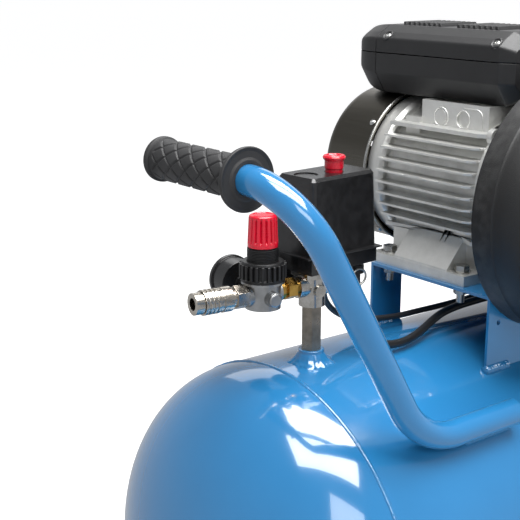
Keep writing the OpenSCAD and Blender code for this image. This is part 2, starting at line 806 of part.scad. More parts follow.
module switch_cover() at_nipple(switch_turn) color(black) {
    wall = 2.5;
    difference() {
        switch_block(switch_len, switch_w, switch_split, switch_top, 2);
        switch_block(switch_len - 2 * wall, switch_w - 2 * wall, switch_split - 1, switch_top - wall, 2);
        rod_z([knob_off.x, knob_off.y, switch_top - 10], 20, 8 + 2 * free_gap);
        rod_z([switch_off.x - 26, switch_off.y, switch_top - 1], 5, 11);
    }
}

module switch_knob() at_nipple(switch_turn) translate([knob_off.x, knob_off.y, 0]) color(red) {
    rod_z([0, 0, switch_top - 20], 26, 8);
    rod_z([0, 0, switch_top + 4], 10, 9.5);
    rod_z([0, 0, switch_top + 12], 3, 10.5);
}

module cable_glands() {
    at_tank() color(black) {
        rod_z([97, 5, switch_z - 14], 8, 7);
        rod_z([97, 5, switch_z - 6], 6, 5);
        rod_z([74, 22, switch_z - 10], 10, 5);
        rod_x([motor_x + pad_half, 5, lead_gland_z], 6, 9);
        rod_x([motor_x + pad_half + 6, 5, lead_gland_z], 13, 7);
    }
    // gland left free for the mains lead
    at_nipple(switch_turn) color(black)
        rod_y([switch_off.x + 20, switch_off.y + switch_w / 2, switch_z + 8], 12, 7);
}

module motor_lead() at_tank() color(black) swept(lead_route, lead_d, 10);
module unloader_tube() at_tank() color(black) swept(unloader_route, unloader_d, 8);

// ---- drain ----

module drain_valve() at_tank() translate([shell_len / 2, 0, drain_z]) color(brass) difference() {
    union() {
        rod_z([0, 0, -12], 22, bung_thread_r);
        hex_z([0, 0, -12], 12, 19);
        rod_y([0, -22, -7], 22, 6);
    }
    rod_y([0, -23, -7], 14, 3 + run_gap);
    rod_z([0, 0, -13], 24, 2.5);
}
module drain_knob() at_tank() translate([shell_len / 2, 0, drain_z]) color(black) {
    rod_y([0, -30, -7], 18, 3);
    rod_y([0, -34, -7], 8, 9);
}

// ---- motor ----

function fin_reach(z) = sqrt(fin_r * fin_r - z * z);

// Aluminium frame: finned barrel, two feet and the pad of the terminal box in one casting
module motor_housing() at_motor() color(alloy) {
    far_y = housing_y + housing_len;
    foot_z = -shaft_h;
    difference() {
        union() {
            rod_y([0, housing_y, 0], housing_len, housing_r);
            for (i = [0:9]) {
                z = -51 + fin_pitch * i;
                t = i == 0 || i == 9 ? 4 : 2.2;
                reach = fin_reach(z);
                translate([0, 0, z - t / 2]) linear_extrude(height = t) polygon([
                    [-reach + 5, housing_y], [reach - 5, housing_y], [reach, housing_y + 8],
                    [reach, far_y], [-reach, far_y], [-reach, housing_y + 8]
                ]);
            }
            for (s = [-1, 1]) {
                box([s * 66 - 16, housing_y, foot_z], [s * 66 + 16, motor_bolt_y[1] + 15, foot_z + foot_t]);
                box([s * 50 - 5, housing_y, foot_z], [s * 50 + 5, far_y, -40]);
                box([s * 66 - 12, housing_y + 44, foot_z], [s * 66 + 12, housing_y + 50, -42]);
            }
            box([-pad_half, pad_y, 40], [pad_half, pad_y + pad_len, pad_top - motor_z]);
            box([-pad_half - 4, pad_y + pad_len - 1, 40], [pad_half, far_y - 12, pad_top - motor_z - 18]);
        }
        rod_y([0, housing_y - 1, 0], housing_len + 2, stator_r);
        // wiring space of the terminal pad
        box([-pad_half + 5, pad_y + 5, 66], [pad_half - 5, pad_y + pad_len - 5, pad_top - motor_z + 1]);
        rod_x([-pad_half - 1, pad_y + 33, pad_top - motor_z - 15], 3, 8);
        rod_x([-pad_half - 1, pad_y + 62, pad_top - motor_z - 15], 3, 5.5);
        rod_x([pad_half - 6, 5, lead_gland_z - motor_z], 8, 5);
        for (x = [-bolt_half, bolt_half], y = motor_bolt_y) rod_z([x, y, foot_z - 1], foot_t + 2, 4);
    }
}

module end_shield() at_motor() color(alloy) difference() {
    union() {
        rod_y([0, housing_y - 6, 0], 6, housing_r + 4);
        rod_y([0, housing_y - shield_t, 0], shield_t, housing_r - 14);
        rod_y([0, housing_y - shield_t - 10, 0], 12, bearing_r + 6);
        for (a = [45, 135, 225, 315]) rotate([0, a, 0]) {
            rod_y([housing_r + 4, housing_y - 6, 0], 6, 8);
        }
    }
    rod_y([0, housing_y - shield_t - 7, 0], shield_t + 10, bearing_r);
    rod_y([0, housing_y - shield_t - 11, 0], 20, shaft_r + 1);
    for (a = [45, 135, 225, 315]) rotate([0, a, 0]) {
        rod_y([housing_r + 6, housing_y - 7, 0], 8, 3);
    }
}

module fan_cover() at_motor() color(dark_steel) {
    wall = 1.5;
    translate([0, cowl_y, 0]) rotate([-90, 0, 0]) difference() {
        rotate_extrude() union() {
            translate([cowl_r - wall, 0]) square([wall, cowl_len - 14]);
            translate([0, cowl_len - wall]) square([cowl_r - 14, wall]);
            translate([cowl_r - 14, cowl_len - 14]) intersection() {
                difference() {
                    circle(r = 14);
                    circle(r = 14 - wall);
                }
                square(15);
            }
        }
        for (r = [18, 32, 46, 60]) for (k = [0:r / 3 - 1])
            rotate(k * 360 / floor(r / 3)) translate([r, 0, cowl_len - 5]) cylinder(r = 3, h = 10);
    }
}

// Shaft and laminated core, which turn together
module rotor() at_motor() color(steel) {
    rod_y([0, belt_y - 16, 0], 262, shaft_r);
    rod_y([0, housing_y + 18, 0], 90, stator_r - 24.5);
    difference() {
        rod_y([0, housing_y - shield_t - 6.5, 0], 15, bearing_r - run_gap);
        rod_y([0, housing_y - shield_t - 7, 0], 16, shaft_r);
    }
}

module stator() at_motor() color(copper) difference() {
    union() {
        rod_y([0, housing_y + 18, 0], 90, stator_r);
        rod_y([0, housing_y + 4, 0], 118, stator_r - 8);
    }
    rod_y([0, housing_y, 0], 130, stator_r - 24);
}

module cooling_fan() at_motor() color(black) {
    hub_y = cowl_y + 12;
    difference() {
        union() {
            rod_y([0, hub_y, 0], 18, 20);
            rod_y([0, hub_y, 0], 3, 62);
            for (k = [0:7]) rotate([0, k * 45, 0]) box([18, hub_y, -1.25], [66, hub_y + 22, 1.25]);
        }
        rod_y([0, hub_y - 1, 0], 26, shaft_r);
    }
}

// Rim of a pulley with one V groove, revolved about its own axis
module grooved_rim(outer, inner, width) {
    rotate([-90, 0, 0]) translate([0, 0, -width / 2]) rotate_extrude() polygon([
        [inner, 0], [outer, 0], [outer, width / 2 - 7], [outer - 13, width / 2 - 5.2],
        [outer - 13, width / 2 + 5.2], [outer, width / 2 + 7], [outer, width], [inner, width]
    ]);
}

module motor_pulley() at_motor() color(dark_steel) translate([0, belt_y, 0]) difference() {
    union() {
        grooved_rim(pulley_r + 4, shaft_r, pulley_w);
        rod_y([0, 10, 0], 8, 20);
    }
    rod_y([0, -20, 0], 50, shaft_r);
}

module capacitor_section(half, inset = 0) {
    low = pad_top + inset;
    h = half - inset;
    mid = box_seam_z;
    top = box_top - inset;
    polygon([
        [-h + 14, low], [h - 14, low], [h, low + 22 - inset], [h, mid + 15],
        [h - 8, top - 7], [h - 20, top], [20 - h, top], [8 - h, top - 7],
        [-h, mid + 15], [-h, low + 22 - inset]
    ]);
}

// Part of the capacitor box between two heights: a prism with domed ends
module capacitor_shell(z0, z1) {
    wall = 3;
    over_cowl = motor_z + cowl_r + free_gap;
    translate([motor_x, 0, 0]) difference() {
        intersection() {
            hull() {
                translate([0, box_y + box_len, 0]) upright(0, box_len) capacitor_section(box_half);
                translate([0, box_y - 14, 0]) upright(0, 1) capacitor_section(box_half, 8);
                for (e = [[24, 2], [38, 6], [46, 12]]) translate([0, box_y + box_len + e[0], 0])
                    upright(0, 1) capacitor_section(box_half, e[1]);
            }
            box([-100, box_y - 60, z0], [100, box_y + box_len + 60, z1]);
        }
        intersection() {
            translate([0, box_y + box_len - wall, 0]) upright(0, box_len - 2 * wall)
                capacitor_section(box_half, wall);
            // the floor is thicker where the box lies over the fan cover
            union() {
                box([-100, box_y, z0 - 1], [100, cowl_y - 3, z1 + 1]);
                box([-100, cowl_y - 4, max(z0 - 1, over_cowl + 3)], [100, box_y + box_len, z1 + 1]);
            }
        }
        rod_y([0, cowl_y - 1, motor_z], cowl_len + 2, cowl_r + free_gap);
    }
}

module capacitor_base() at_tank() color(black) difference() {
    capacitor_shell(pad_top, box_seam_z);
    rod_z([motor_x, pad_y + 40, pad_top - 1], 6, 12);
}
module capacitor_cover() at_tank() color(black) difference() {
    capacitor_shell(box_seam_z, box_top);
    for (g = [0, 1], k = [0:7]) translate([motor_x - 26, box_y + 22 + g * 74 + k * 7, box_top - 5])
        cube([52, 3, 10]);
}
module capacitors() at_tank() color(white) {
    for (x = [-19, 19]) rod_y([motor_x + x, box_y + 20, box_seam_z - 2], 100, 17);
}

// Bolts, nuts and screws that hold motor, pump, feet and guard
module fasteners() at_tank() color(steel) {
    foot_top = deck_top + foot_t;
    for (x = [-bolt_half, bolt_half], y = motor_bolt_y) translate([motor_x + x, y, 0]) {
        rod_z([0, 0, deck_top - 20], 20 + foot_t, 4);
        rod_z([0, 0, foot_top], 1.6, 9);
        hex_z([0, 0, foot_top + 1.6], 5.5, 13);
        hex_z([0, 0, deck_top - deck_t - 8], 8, 13);
    }
    for (x = [-1, 1], y = [-1, 1]) translate([pump_x + x * pump_bolt_x, y * pump_bolt_y, 0]) {
        rod_z([0, 0, deck_top - 14], 26, 4);
        hex_z([0, 0, deck_top + 12], 6, 13);
        hex_z([0, 0, deck_top - deck_t - 7], 7, 13);
    }
    for (s = [-1, 1]) translate([foot_x, s * foot_track, 0]) {
        rod_z([0, 0, -axis_height + 10], foot_h - 10 + foot_plate_t + 8, 4);
        hex_z([0, 0, foot_plate_z + foot_plate_t], 6.5, 13);
    }
    for (p = guard_screws) {
        rod_y([p.x, -guard_y - guard_wall - 9, p.y], guard_wall + 9, 2);
        rod_y([p.x, -guard_y, p.y], 2.4, 4.2);
    }
}

// ---- pump ----

module crankcase() at_pump() color(dark_steel) {
    top = case_top - pump_z;
    floor_z = -crank_h;
    difference() {
        union() {
            box([-case_half, case_y, floor_z + 10], [case_half, case_y + case_len, top]);
            box([-80, case_y, floor_z], [80, case_y + case_len, floor_z + 12]);
            rod_y([0, case_y - 8, 0], 10, 46);
            rod_y([0, case_y - 10, 0], 20, 24);
            for (z = [-70, -50, -30]) box([-case_half - 3, case_y + 8, z - 2],
                [case_half + 3, case_y + case_len - 8, z + 2]);
        }
        box([-case_half + 10, case_y + 14, floor_z + 16],
            [case_half - 10, case_y + case_len - 14, top - 8]);
        rod_y([0, case_y - 12, 0], 30, crank_r + run_gap);
        rod_y([0, case_y + case_len - 15, 0], 12, crank_r + run_gap);
        for (s = [-1, 1]) rod_z([0, s * bore_pitch / 2, top - 10], 20, bore_d / 2 + 2);
        for (x = [-1, 1], y = [-1, 1])
            rod_z([x * pump_bolt_x, y * pump_bolt_y, floor_z - 1], 14, 4);
    }
}

module cylinder_block() at_tank() color(dark_steel) translate([pump_x, 0, case_top]) difference() {
    union() {
        for (s = [-1, 1]) rod_z([0, s * bore_pitch / 2, 0], block_h, bore_d / 2 + 6);
        box([-case_half + 4, -block_half_y + 8, 0], [case_half - 4, block_half_y - 8, 8]);
        box([-block_half_x, -block_half_y, block_h - 8], [block_half_x, block_half_y, block_h]);
        for (k = [0:7]) translate([0, 0, 17 + 9.5 * k]) linear_extrude(height = 2.4)
            for (s = [-1, 1]) translate([0, s * bore_pitch / 2]) circle(r = guard_y - bore_pitch / 2 - 2);
    }
    for (s = [-1, 1]) rod_z([0, s * bore_pitch / 2, -1], block_h + 2, bore_d / 2);
}

module pistons() at_pump() color(alloy) {
    for (s = [-1, 1]) rod_z([0, s * bore_pitch / 2, case_top - pump_z + 40 + s * crank_throw], 34,
                            bore_d / 2 - run_gap);
}

module pump_head() at_tank() color(alloy) translate([pump_x, 0, block_top]) difference() {
    union() {
        box([-block_half_x, -block_half_y, 0], [block_half_x, block_half_y, head_h - 16]);
        for (k = [0:10]) box([-block_half_x, -block_half_y + 3 + k * 15.2, head_h - 17],
                             [block_half_x, -block_half_y + 7 + k * 15.2, head_h]);
        rod_x([-block_half_x - 12, 0, 14], 14, 13);
        for (s = [-1, 1]) rod_x([block_half_x - 2, s * 40, 14], 10, 12);
    }
    rod_x([-block_half_x - 13, 0, 14], 20, 7.5);
    for (s = [-1, 1]) rod_x([block_half_x - 6, s * 40, 14], 16, 8);
    for (x = [-38, 38], y = [-70, 0, 70]) rod_z([x, y, head_h - 20], 30, 5);
}

module crankshaft() at_pump() color(steel) {
    web_t = 7;
    rod_y([0, belt_y - 18, 0], case_y + 24 - (belt_y - 18), crank_r);
    rod_y([0, case_y + case_len - 22, 0], 18, crank_r);
    for (s = [-1, 1]) {
        mid = s * bore_pitch / 2 + case_y + case_len / 2;
        for (e = [-1, 1]) hull() {
            rod_y([0, mid + e * 10 - web_t / 2, 0], web_t, crank_r);
            rod_y([0, mid + e * 10 - web_t / 2, s * crank_throw], web_t, 12);
        }
        rod_y([0, mid - 10, s * crank_throw], 20, 10);
    }
    rod_y([0, case_y + case_len / 2 - bore_pitch / 2 + 9, 0], bore_pitch - 18, crank_r);
}

module flywheel() at_pump() color(black) translate([0, belt_y, 0]) difference() {
    union() {
        grooved_rim(flywheel_r + 4, flywheel_r - 18, 26);
        rod_y([0, -14, 0], 30, crank_r + 14);
        for (k = [0:4]) rotate([0, k * 72, 0]) box([crank_r + 8, -5, -11], [flywheel_r - 14, 5, 11]);
    }
    rod_y([0, -30, 0], 60, crank_r);
}

module air_filters() at_tank() color(black) {
    for (s = [-1, 1]) difference() {
        union() {
            rod_x([pump_x + block_half_x + 8, s * 40, block_top + 14], 6, 14);
            rod_x([pump_x + block_half_x + 14, s * 40, block_top + 14], 34, 31);
            rod_x([pump_x + block_half_x + 19, s * 40, block_top + 14], 5, 33);
        }
        rod_x([pump_x + block_half_x + 7, s * 40, block_top + 14], 20, 8);
    }
}

module delivery_pipe() at_tank() color(copper) {
    pipe_z = block_top + 14;
    route = [
        [pump_x - block_half_x - 12, 0, pipe_z], [inlet_x, 0, pipe_z], [inlet_x, 0, bung_top + 56]
    ];
    bent_rod(route, [45], 7.5, 6);
    difference() {
        rod_x([pump_x - block_half_x - 26, 0, pipe_z], 14, 12);
        rod_x([pump_x - block_half_x - 27, 0, pipe_z], 16, 7);
    }
    difference() {
        rod_z([inlet_x, 0, bung_top + 56], 12, 12);
        rod_z([inlet_x, 0, bung_top + 55], 14, 7);
    }
}

// ---- belt and guard ----

module drive_belt() at_tank() color([0.1, 0.1, 0.1]) difference() {
    outer = 3;
    upright(belt_y + belt_w / 2, belt_w) loop_outline(pulley_r + outer, flywheel_r + outer);
    upright(belt_y + belt_w / 2 + 1, belt_w + 2)
        loop_outline(pulley_r + outer - belt_t, flywheel_r + outer - belt_t);
}

module guard_back() at_tank() color(black) difference() {
    upright(-guard_y, guard_wall) loop_outline(guard_r1, guard_r2, guard_drop);
    for (p = guard_screws) rod_y([p.x, -guard_y - 10, p.y], 20, 2.2);
    rod_y([motor_x, -guard_y - 10, motor_z], 20, 32);
    rod_y([pump_x, -guard_y - 10, pump_z], 20, 34);
    for (a = [0:30:330], r = [62, 82, 102]) translate([pump_x, 0, pump_z]) rotate([0, a, 0])
        rod_y([r, -guard_y - 10, 0], 20, 6);
}

// Solid form of the front cover: a straight side, then a rounded face
module guard_form(inset, depth, drop) {
    round_r = 24;
    rear = -guard_y - guard_wall;
    hull() for (c = [[guard_c1.x, guard_c1.y, guard_r1], [guard_c2.x, guard_c2.y, guard_r2]]) {
        rod_y([c.x, rear - guard_side, c.y], guard_side + drop, c[2] - inset);
        for (a = [30, 60, 90]) translate([c.x, 0, c.y])
            rod_y([0, rear - guard_side - (depth - guard_side) * sin(a), 0], 0.2,
                  c[2] - inset - round_r * (1 - cos(a)));
    }
}

module guard_front() at_tank() color(black) {
    depth = guard_depth - guard_wall;
    rear = -guard_y - guard_wall;
    difference() {
        union() {
            difference() {
                guard_form(0, depth, 0);
                guard_form(guard_wall, depth - guard_wall, 1);
            }
            // bosses that take the screws of the rear plate
            for (p = guard_screws) rod_y([p.x, rear - 14, p.y], 14, 5.8);
        }
        for (p = guard_screws) rod_y([p.x, rear - 11, p.y], 12, 2.2);
    }
}

// ---- the assembled machine ----

tank_shell();
head_left();
head_right();
tank_bungs();
base_brackets();
rubber_feet();
axle_bolts();
wheel_near();
wheel_far();
tyre_near();
tyre_far();
machine_bracket();
handle_tube();
handle_grip();
hex_nipple();
manifold();
brass_fittings();
safety_valve();
safety_ring();
gauge_cases();
gauge_dials();
gauge_lenses();
needle_tank();
needle_line();
regulator_body();
ring_nut();
regulator_bonnet();
regulator_knob();
coupler_body();
coupler_sleeve();
switch_base();
switch_cover();
switch_knob();
cable_glands();
motor_lead();
unloader_tube();
delivery_pipe();
drain_valve();
drain_knob();
motor_housing();
end_shield();
fan_cover();
rotor();
cooling_fan();
motor_pulley();
stator();
capacitor_base();
capacitor_cover();
capacitors();
fasteners();
crankcase();
cylinder_block();
pump_head();
pistons();
crankshaft();
flywheel();
air_filters();
drive_belt();
guard_back();
guard_front();
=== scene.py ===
"""Looks of the belt-driven air compressor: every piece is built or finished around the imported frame."""

import json
import math
import random

import bmesh
import bpy
from mathutils import Matrix, Vector

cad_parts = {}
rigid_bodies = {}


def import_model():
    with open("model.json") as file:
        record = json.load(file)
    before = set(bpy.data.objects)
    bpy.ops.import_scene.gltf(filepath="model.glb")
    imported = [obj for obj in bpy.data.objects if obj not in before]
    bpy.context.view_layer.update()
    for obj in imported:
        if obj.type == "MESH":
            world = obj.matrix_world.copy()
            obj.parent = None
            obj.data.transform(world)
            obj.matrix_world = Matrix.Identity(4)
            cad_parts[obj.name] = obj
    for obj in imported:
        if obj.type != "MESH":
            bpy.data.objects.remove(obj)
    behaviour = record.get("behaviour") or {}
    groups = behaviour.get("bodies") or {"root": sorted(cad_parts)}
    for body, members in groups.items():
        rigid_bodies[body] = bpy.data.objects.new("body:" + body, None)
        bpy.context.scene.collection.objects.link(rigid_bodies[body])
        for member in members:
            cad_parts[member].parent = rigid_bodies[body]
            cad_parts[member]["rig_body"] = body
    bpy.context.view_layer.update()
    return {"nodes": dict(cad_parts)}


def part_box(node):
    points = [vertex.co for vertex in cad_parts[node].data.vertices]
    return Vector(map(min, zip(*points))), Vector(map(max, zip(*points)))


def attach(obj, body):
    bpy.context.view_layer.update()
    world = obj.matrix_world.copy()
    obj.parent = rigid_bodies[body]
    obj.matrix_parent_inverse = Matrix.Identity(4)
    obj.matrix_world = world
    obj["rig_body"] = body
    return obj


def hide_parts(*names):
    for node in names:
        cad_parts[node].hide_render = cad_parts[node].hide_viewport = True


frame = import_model()

# ---------------------------------------------------------------- camera, floor and studio
# The machine is seen from its outlet end, over the handle, with the floor running out of sight.
# Two soft panels hang side by side above it, and a pale sky fills in all round.

camera_yaw = math.radians(-37.24)
camera = bpy.data.objects.new("camera", bpy.data.cameras.new("camera"))
camera.data.lens = 76.83
camera.data.sensor_width = 36
camera.location = (-0.9641, -0.7395, 0.7824)
camera.rotation_euler = (math.radians(75.09), 0, camera_yaw)
bpy.context.scene.collection.objects.link(camera)
bpy.context.scene.camera = camera


def panel(name, right, forward, height, width, depth, watts, lean=(0, 0)):
    """A soft light panel, placed along and across the camera's own heading."""
    light = bpy.data.lights.new(name, "AREA")
    light.shape = "RECTANGLE"
    light.size, light.size_y = width, depth
    light.energy = watts
    lamp = bpy.data.objects.new(name, light)
    heading = Matrix.Rotation(camera_yaw, 3, "Z")
    lamp.location = heading @ Vector((right, forward, 0)) + Vector((-0.40, -0.05, height))
    lamp.rotation_euler = (math.radians(lean[0]), math.radians(lean[1]), camera_yaw)
    bpy.context.scene.collection.objects.link(lamp)


panel("panel_far", 0.52, 0.34, 2.41, 1.9, 0.86, 70)
panel("panel_near", 0.40, -0.62, 2.41, 2.1, 0.82, 66)
panel("panel_back", 0.90, 2.6, 1.9, 4.2, 0.9, 14, lean=(-60, 0))
panel("panel_front", 0.9, -2.3, 2.2, 1.6, 1.0, 26, lean=(50, 16))

world = bpy.data.worlds.new("studio")
bpy.context.scene.world = world
world.use_nodes = True
sky_nodes, sky_links = world.node_tree.nodes, world.node_tree.links
sky_place = sky_nodes.new("ShaderNodeTexCoord")
sky_split = sky_nodes.new("ShaderNodeSeparateXYZ")
sky_ramp = sky_nodes.new("ShaderNodeValToRGB")
sky_links.new(sky_place.outputs["Generated"], sky_split.inputs[0])
sky_links.new(sky_split.outputs["Z"], sky_ramp.inputs[0])
sky_links.new(sky_ramp.outputs[0], sky_nodes["Background"].inputs["Color"])
sky_ramp.color_ramp.elements[0].position = 0.0
sky_ramp.color_ramp.elements[0].color = (0.50, 0.51, 0.53, 1)
sky_ramp.color_ramp.elements[1].position = 0.75
sky_ramp.color_ramp.elements[1].color = (0.30, 0.305, 0.315, 1)
sky_nodes["Background"].inputs["Strength"].default_value = 0.95
bpy.context.scene.view_settings.view_transform = "Standard"

floor_mesh = bpy.data.meshes.new("floor")
floor_mesh.from_pydata([(-30, -30, 0), (30, -30, 0), (30, 30, 0), (-30, 30, 0)], [], [(0, 1, 2, 3)])
floor = bpy.data.objects.new("floor", floor_mesh)
bpy.context.scene.collection.objects.link(floor)
floor.visible_glossy = False
floor_finish = bpy.data.materials.new("floor")
floor_finish.use_nodes = True
floor_shader = floor_finish.node_tree.nodes["Principled BSDF"]
floor_shader.inputs["Base Color"].default_value = (0.40, 0.40, 0.40, 1)
floor_shader.inputs["Roughness"].default_value = 0.7
floor_shader.inputs["Emission Color"].default_value = (1, 1, 1, 1)
floor_shader.inputs["Emission Strength"].default_value = 0.84
floor_mesh.materials.append(floor_finish)

# ---------------------------------------------------------------- tank
# A rolled steel shell with two pressed heads, joined by a round weld at each seam. It is
# shot-blasted and powder coated, so the gloss shows a fine orange peel and softened beads.


def tone(red, green, blue):
    """Display colour, 0 to 255, as the linear colour that a shader takes."""
    return tuple(((c / 255 + 0.055) / 1.055) ** 2.4 if c > 10 else c / 255 / 12.92
                 for c in (red, green, blue)) + (1,)


def new_group(name, inputs, outputs):
    """Empty shader group with named sockets; each is (name, kind, value)."""
    group = bpy.data.node_groups.new(name, "ShaderNodeTree")
    for label, kind, value in inputs:
        socket = group.interface.new_socket(label, in_out="INPUT", socket_type="NodeSocket" + kind)
        socket.default_value = value
    for label, kind in outputs:
        group.interface.new_socket(label, in_out="OUTPUT", socket_type="NodeSocket" + kind)
    return group, group.nodes.new("NodeGroupInput"), group.nodes.new("NodeGroupOutput")


def add(tree, kind, values=(), **settings):
    """New node; values set its inputs by name or number, and a socket given there is linked."""
    node = tree.nodes.new(kind)
    for key, value in settings.items():
        setattr(node, key, value)
    for key, value in dict(values).items():
        if isinstance(value, bpy.types.NodeSocket):
            tree.links.new(value, node.inputs[key])
        else:
            node.inputs[key].default_value = value
    return node


def grain_group():
    """Soft patches of a second colour and roughness, and a fine height, all in Object space."""
    group, start, end = new_group(
        "grain",
        [("Colour", "Color", (0.5, 0.5, 0.5, 1)), ("Second Colour", "Color", (0.4, 0.4, 0.4, 1)),
         ("Roughness", "Float", 0.4), ("Roughness Spread", "Float", 0.1),
         ("Patch Scale", "Float", 20.0), ("Grain Scale", "Float", 900.0),
         ("Stretch", "Vector", (1, 1, 1))],
        [("Colour", "Color"), ("Roughness", "Float"), ("Height", "Float")])
    place = add(group, "ShaderNodeTexCoord")
    drawn = add(group, "ShaderNodeVectorMath", {0: place.outputs["Object"], 1: start.outputs["Stretch"]},
                operation="MULTIPLY")
    patch = add(group, "ShaderNodeTexNoise", {"Vector": drawn.outputs[0],
                "Scale": start.outputs["Patch Scale"], "Detail": 5.0, "Roughness": 0.6})
    fine = add(group, "ShaderNodeTexNoise", {"Vector": drawn.outputs[0],
               "Scale": start.outputs["Grain Scale"], "Detail": 3.0, "Roughness": 0.55})
    share = add(group, "ShaderNodeMapRange", {"Value": patch.outputs[0], "From Min": 0.35,
                "From Max": 0.65})
    blend = add(group, "ShaderNodeMix", {0: share.outputs[0], 6: start.outputs["Colour"],
                7: start.outputs["Second Colour"]}, data_type="RGBA")
    both = add(group, "ShaderNodeMath", {0: share.outputs[0], 1: fine.outputs[0]})
    centred = add(group, "ShaderNodeMath", {0: both.outputs[0], 1: 1.0}, operation="SUBTRACT")
    rough = add(group, "ShaderNodeMath", {0: centred.outputs[0],
                1: start.outputs["Roughness Spread"], 2: start.outputs["Roughness"]},
                operation="MULTIPLY_ADD", use_clamp=True)
    group.links.new(blend.outputs[2], end.inputs["Colour"])
    group.links.new(rough.outputs[0], end.inputs["Roughness"])
    group.links.new(fine.outputs[0], end.inputs["Height"])
    return group


def wear_and_highlight_group():
    """Mask of convex edges, broken up by a noise: where the edges are rubbed and where a painted highlight
    lightens them.
    """
    group, start, end = new_group(
        "edge_wear_and_highlight", [("Amount", "Float", 0.5), ("Scale", "Float", 120.0)], [("Mask", "Float")])
    place = add(group, "ShaderNodeTexCoord")
    shape = add(group, "ShaderNodeNewGeometry")
    # Convex edges from pointiness: the lighter edge colour is partly rubbed wear, partly a painted highlight
    # where edges catch light.
    edge = add(group, "ShaderNodeMapRange", {"Value": shape.outputs["Pointiness"], "From Min": 0.515,
               "From Max": 0.58})
    noise = add(group, "ShaderNodeTexNoise", {"Vector": place.outputs["Object"],
                "Scale": start.outputs["Scale"], "Detail": 4.0})
    broken = add(group, "ShaderNodeMapRange", {"Value": noise.outputs[0], "From Min": 0.4,
                 "From Max": 0.62})
    both = add(group, "ShaderNodeMath", {0: edge.outputs[0], 1: broken.outputs[0]},
               operation="MULTIPLY")
    mask = add(group, "ShaderNodeMath", {0: both.outputs[0], 1: start.outputs["Amount"]},
               operation="MULTIPLY", use_clamp=True)
    group.links.new(mask.outputs[0], end.inputs["Mask"])
    return group


GRAIN = grain_group()
WEAR_AND_HIGHLIGHT = wear_and_highlight_group()


def finish(name, colour, second, rough, spread=0.1, patch=20.0, grain=900.0, bump=0.1, depth=0.0002,
           stretch=(1, 1, 1), metallic=0.0, wear_and_highlight=None, **shader_values):
    """Material of grained colour; wear is (colour, amount) laid on convex edges as rubbed wear and a painted
    edge highlight.
    """
    material = bpy.data.materials.new(name)
    material.use_nodes = True
    tree = material.node_tree
    shader = tree.nodes["Principled BSDF"]
    surface = add(tree, "ShaderNodeGroup", node_tree=GRAIN)
    for socket, value in (("Colour", colour), ("Second Colour", second), ("Roughness", rough),
                          ("Roughness Spread", spread), ("Patch Scale", patch),
                          ("Grain Scale", grain), ("Stretch", stretch)):
        surface.inputs[socket].default_value = value
    top_colour = surface.outputs["Colour"]
    # Lighter colour on convex edges: rubbed wear together with a painted highlight where the edges would
    # catch the light.
    if wear_and_highlight:
        rubbed_and_lit = add(tree, "ShaderNodeGroup", node_tree=WEAR_AND_HIGHLIGHT)
        rubbed_and_lit.inputs["Amount"].default_value = wear_and_highlight[1]
        worn_and_lit = add(tree, "ShaderNodeMix", {0: rubbed_and_lit.outputs["Mask"], 6: top_colour, 7: wear_and_highlight[0]},
                   data_type="RGBA")
        top_colour = worn_and_lit.outputs[2]
    tree.links.new(top_colour, shader.inputs["Base Color"])
    tree.links.new(surface.outputs["Roughness"], shader.inputs["Roughness"])
    relief = add(tree, "ShaderNodeBump", {"Height": surface.outputs["Height"], "Strength": bump,
                 "Distance": depth})
    tree.links.new(relief.outputs[0], shader.inputs["Normal"])
    shader.inputs["Metallic"].default_value = metallic
    for socket, value in shader_values.items():
        shader.inputs[socket.replace("_", " ")].default_value = value
    return material


def shape(name, points, faces, material, sharp=40):
    """Closed mesh piece with outward normals, smooth but for edges over the sharp angle."""
    mesh = bpy.data.meshes.new(name)
    mesh.from_pydata([tuple(p) for p in points], [], faces)
    return finished(name, mesh, material, sharp)


def finished(name, mesh, material, sharp=40, weld=1e-6, outward=True):
    """Puts a mesh on a new object at the origin, merged, shaded and with its material."""
    work = bmesh.new()
    work.from_mesh(mesh)
    bmesh.ops.remove_doubles(work, verts=work.verts, dist=weld)
    if outward:
        bmesh.ops.recalc_face_normals(work, faces=work.faces)
    work.to_mesh(mesh)
    work.free()
    mesh.materials.clear()
    mesh.materials.append(material)
    for face in mesh.polygons:
        face.use_smooth = True
        face.material_index = 0
    mesh.set_sharp_from_angle(angle=math.radians(sharp))
    piece = bpy.data.objects.new(name, mesh)
    bpy.context.scene.collection.objects.link(piece)
    even = piece.modifiers.new("even_normals", "WEIGHTED_NORMAL")
    even.keep_sharp = True
    return piece


def belongs(piece, slot, *nodes, body=None):
    """The piece stands for CAD nodes and moves with their body; the slot is not used."""
    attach(piece, body or frame["nodes"][nodes[0]]["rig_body"])
    if nodes:
        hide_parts(*nodes)
    return piece


def rounded(outline, radius, steps=3, closed=False):
    """Outline of (a, b) points with each corner rounded; a third number sets its own radius."""
    count, made = len(outline), []
    for i, point in enumerate(outline):
        here = Vector(point[:2])
        if not closed and i in (0, count - 1):
            made.append(here)
            continue
        before = Vector(outline[i - 1][:2]) - here
        after = Vector(outline[(i + 1) % count][:2]) - here
        turn = before.angle(after)
        own = point[2] if len(point) > 2 else radius
        cut = own / math.tan(turn / 2) if turn < math.pi - 0.02 else 0
        cut = min(cut, 0.48 * before.length, 0.48 * after.length)
        if cut < 1e-7:
            made.append(here)
            continue
        first, last = here + before.normalized() * cut, here + after.normalized() * cut
        for k in range(steps + 1):
            t = k / steps
            made.append(first * (1 - t) ** 2 + here * 2 * t * (1 - t) + last * t * t)
    return made


def along_x(x, y, z):
    """Place of a turned piece whose axis runs along +X from a point."""
    return Matrix.Translation((x, y, z)) @ Matrix.Rotation(math.pi / 2, 4, "Y")


def along_y(x, y, z):
    """Place of a turned piece whose axis runs along +Y from a point."""
    return Matrix.Translation((x, y, z)) @ Matrix.Rotation(-math.pi / 2, 4, "X")


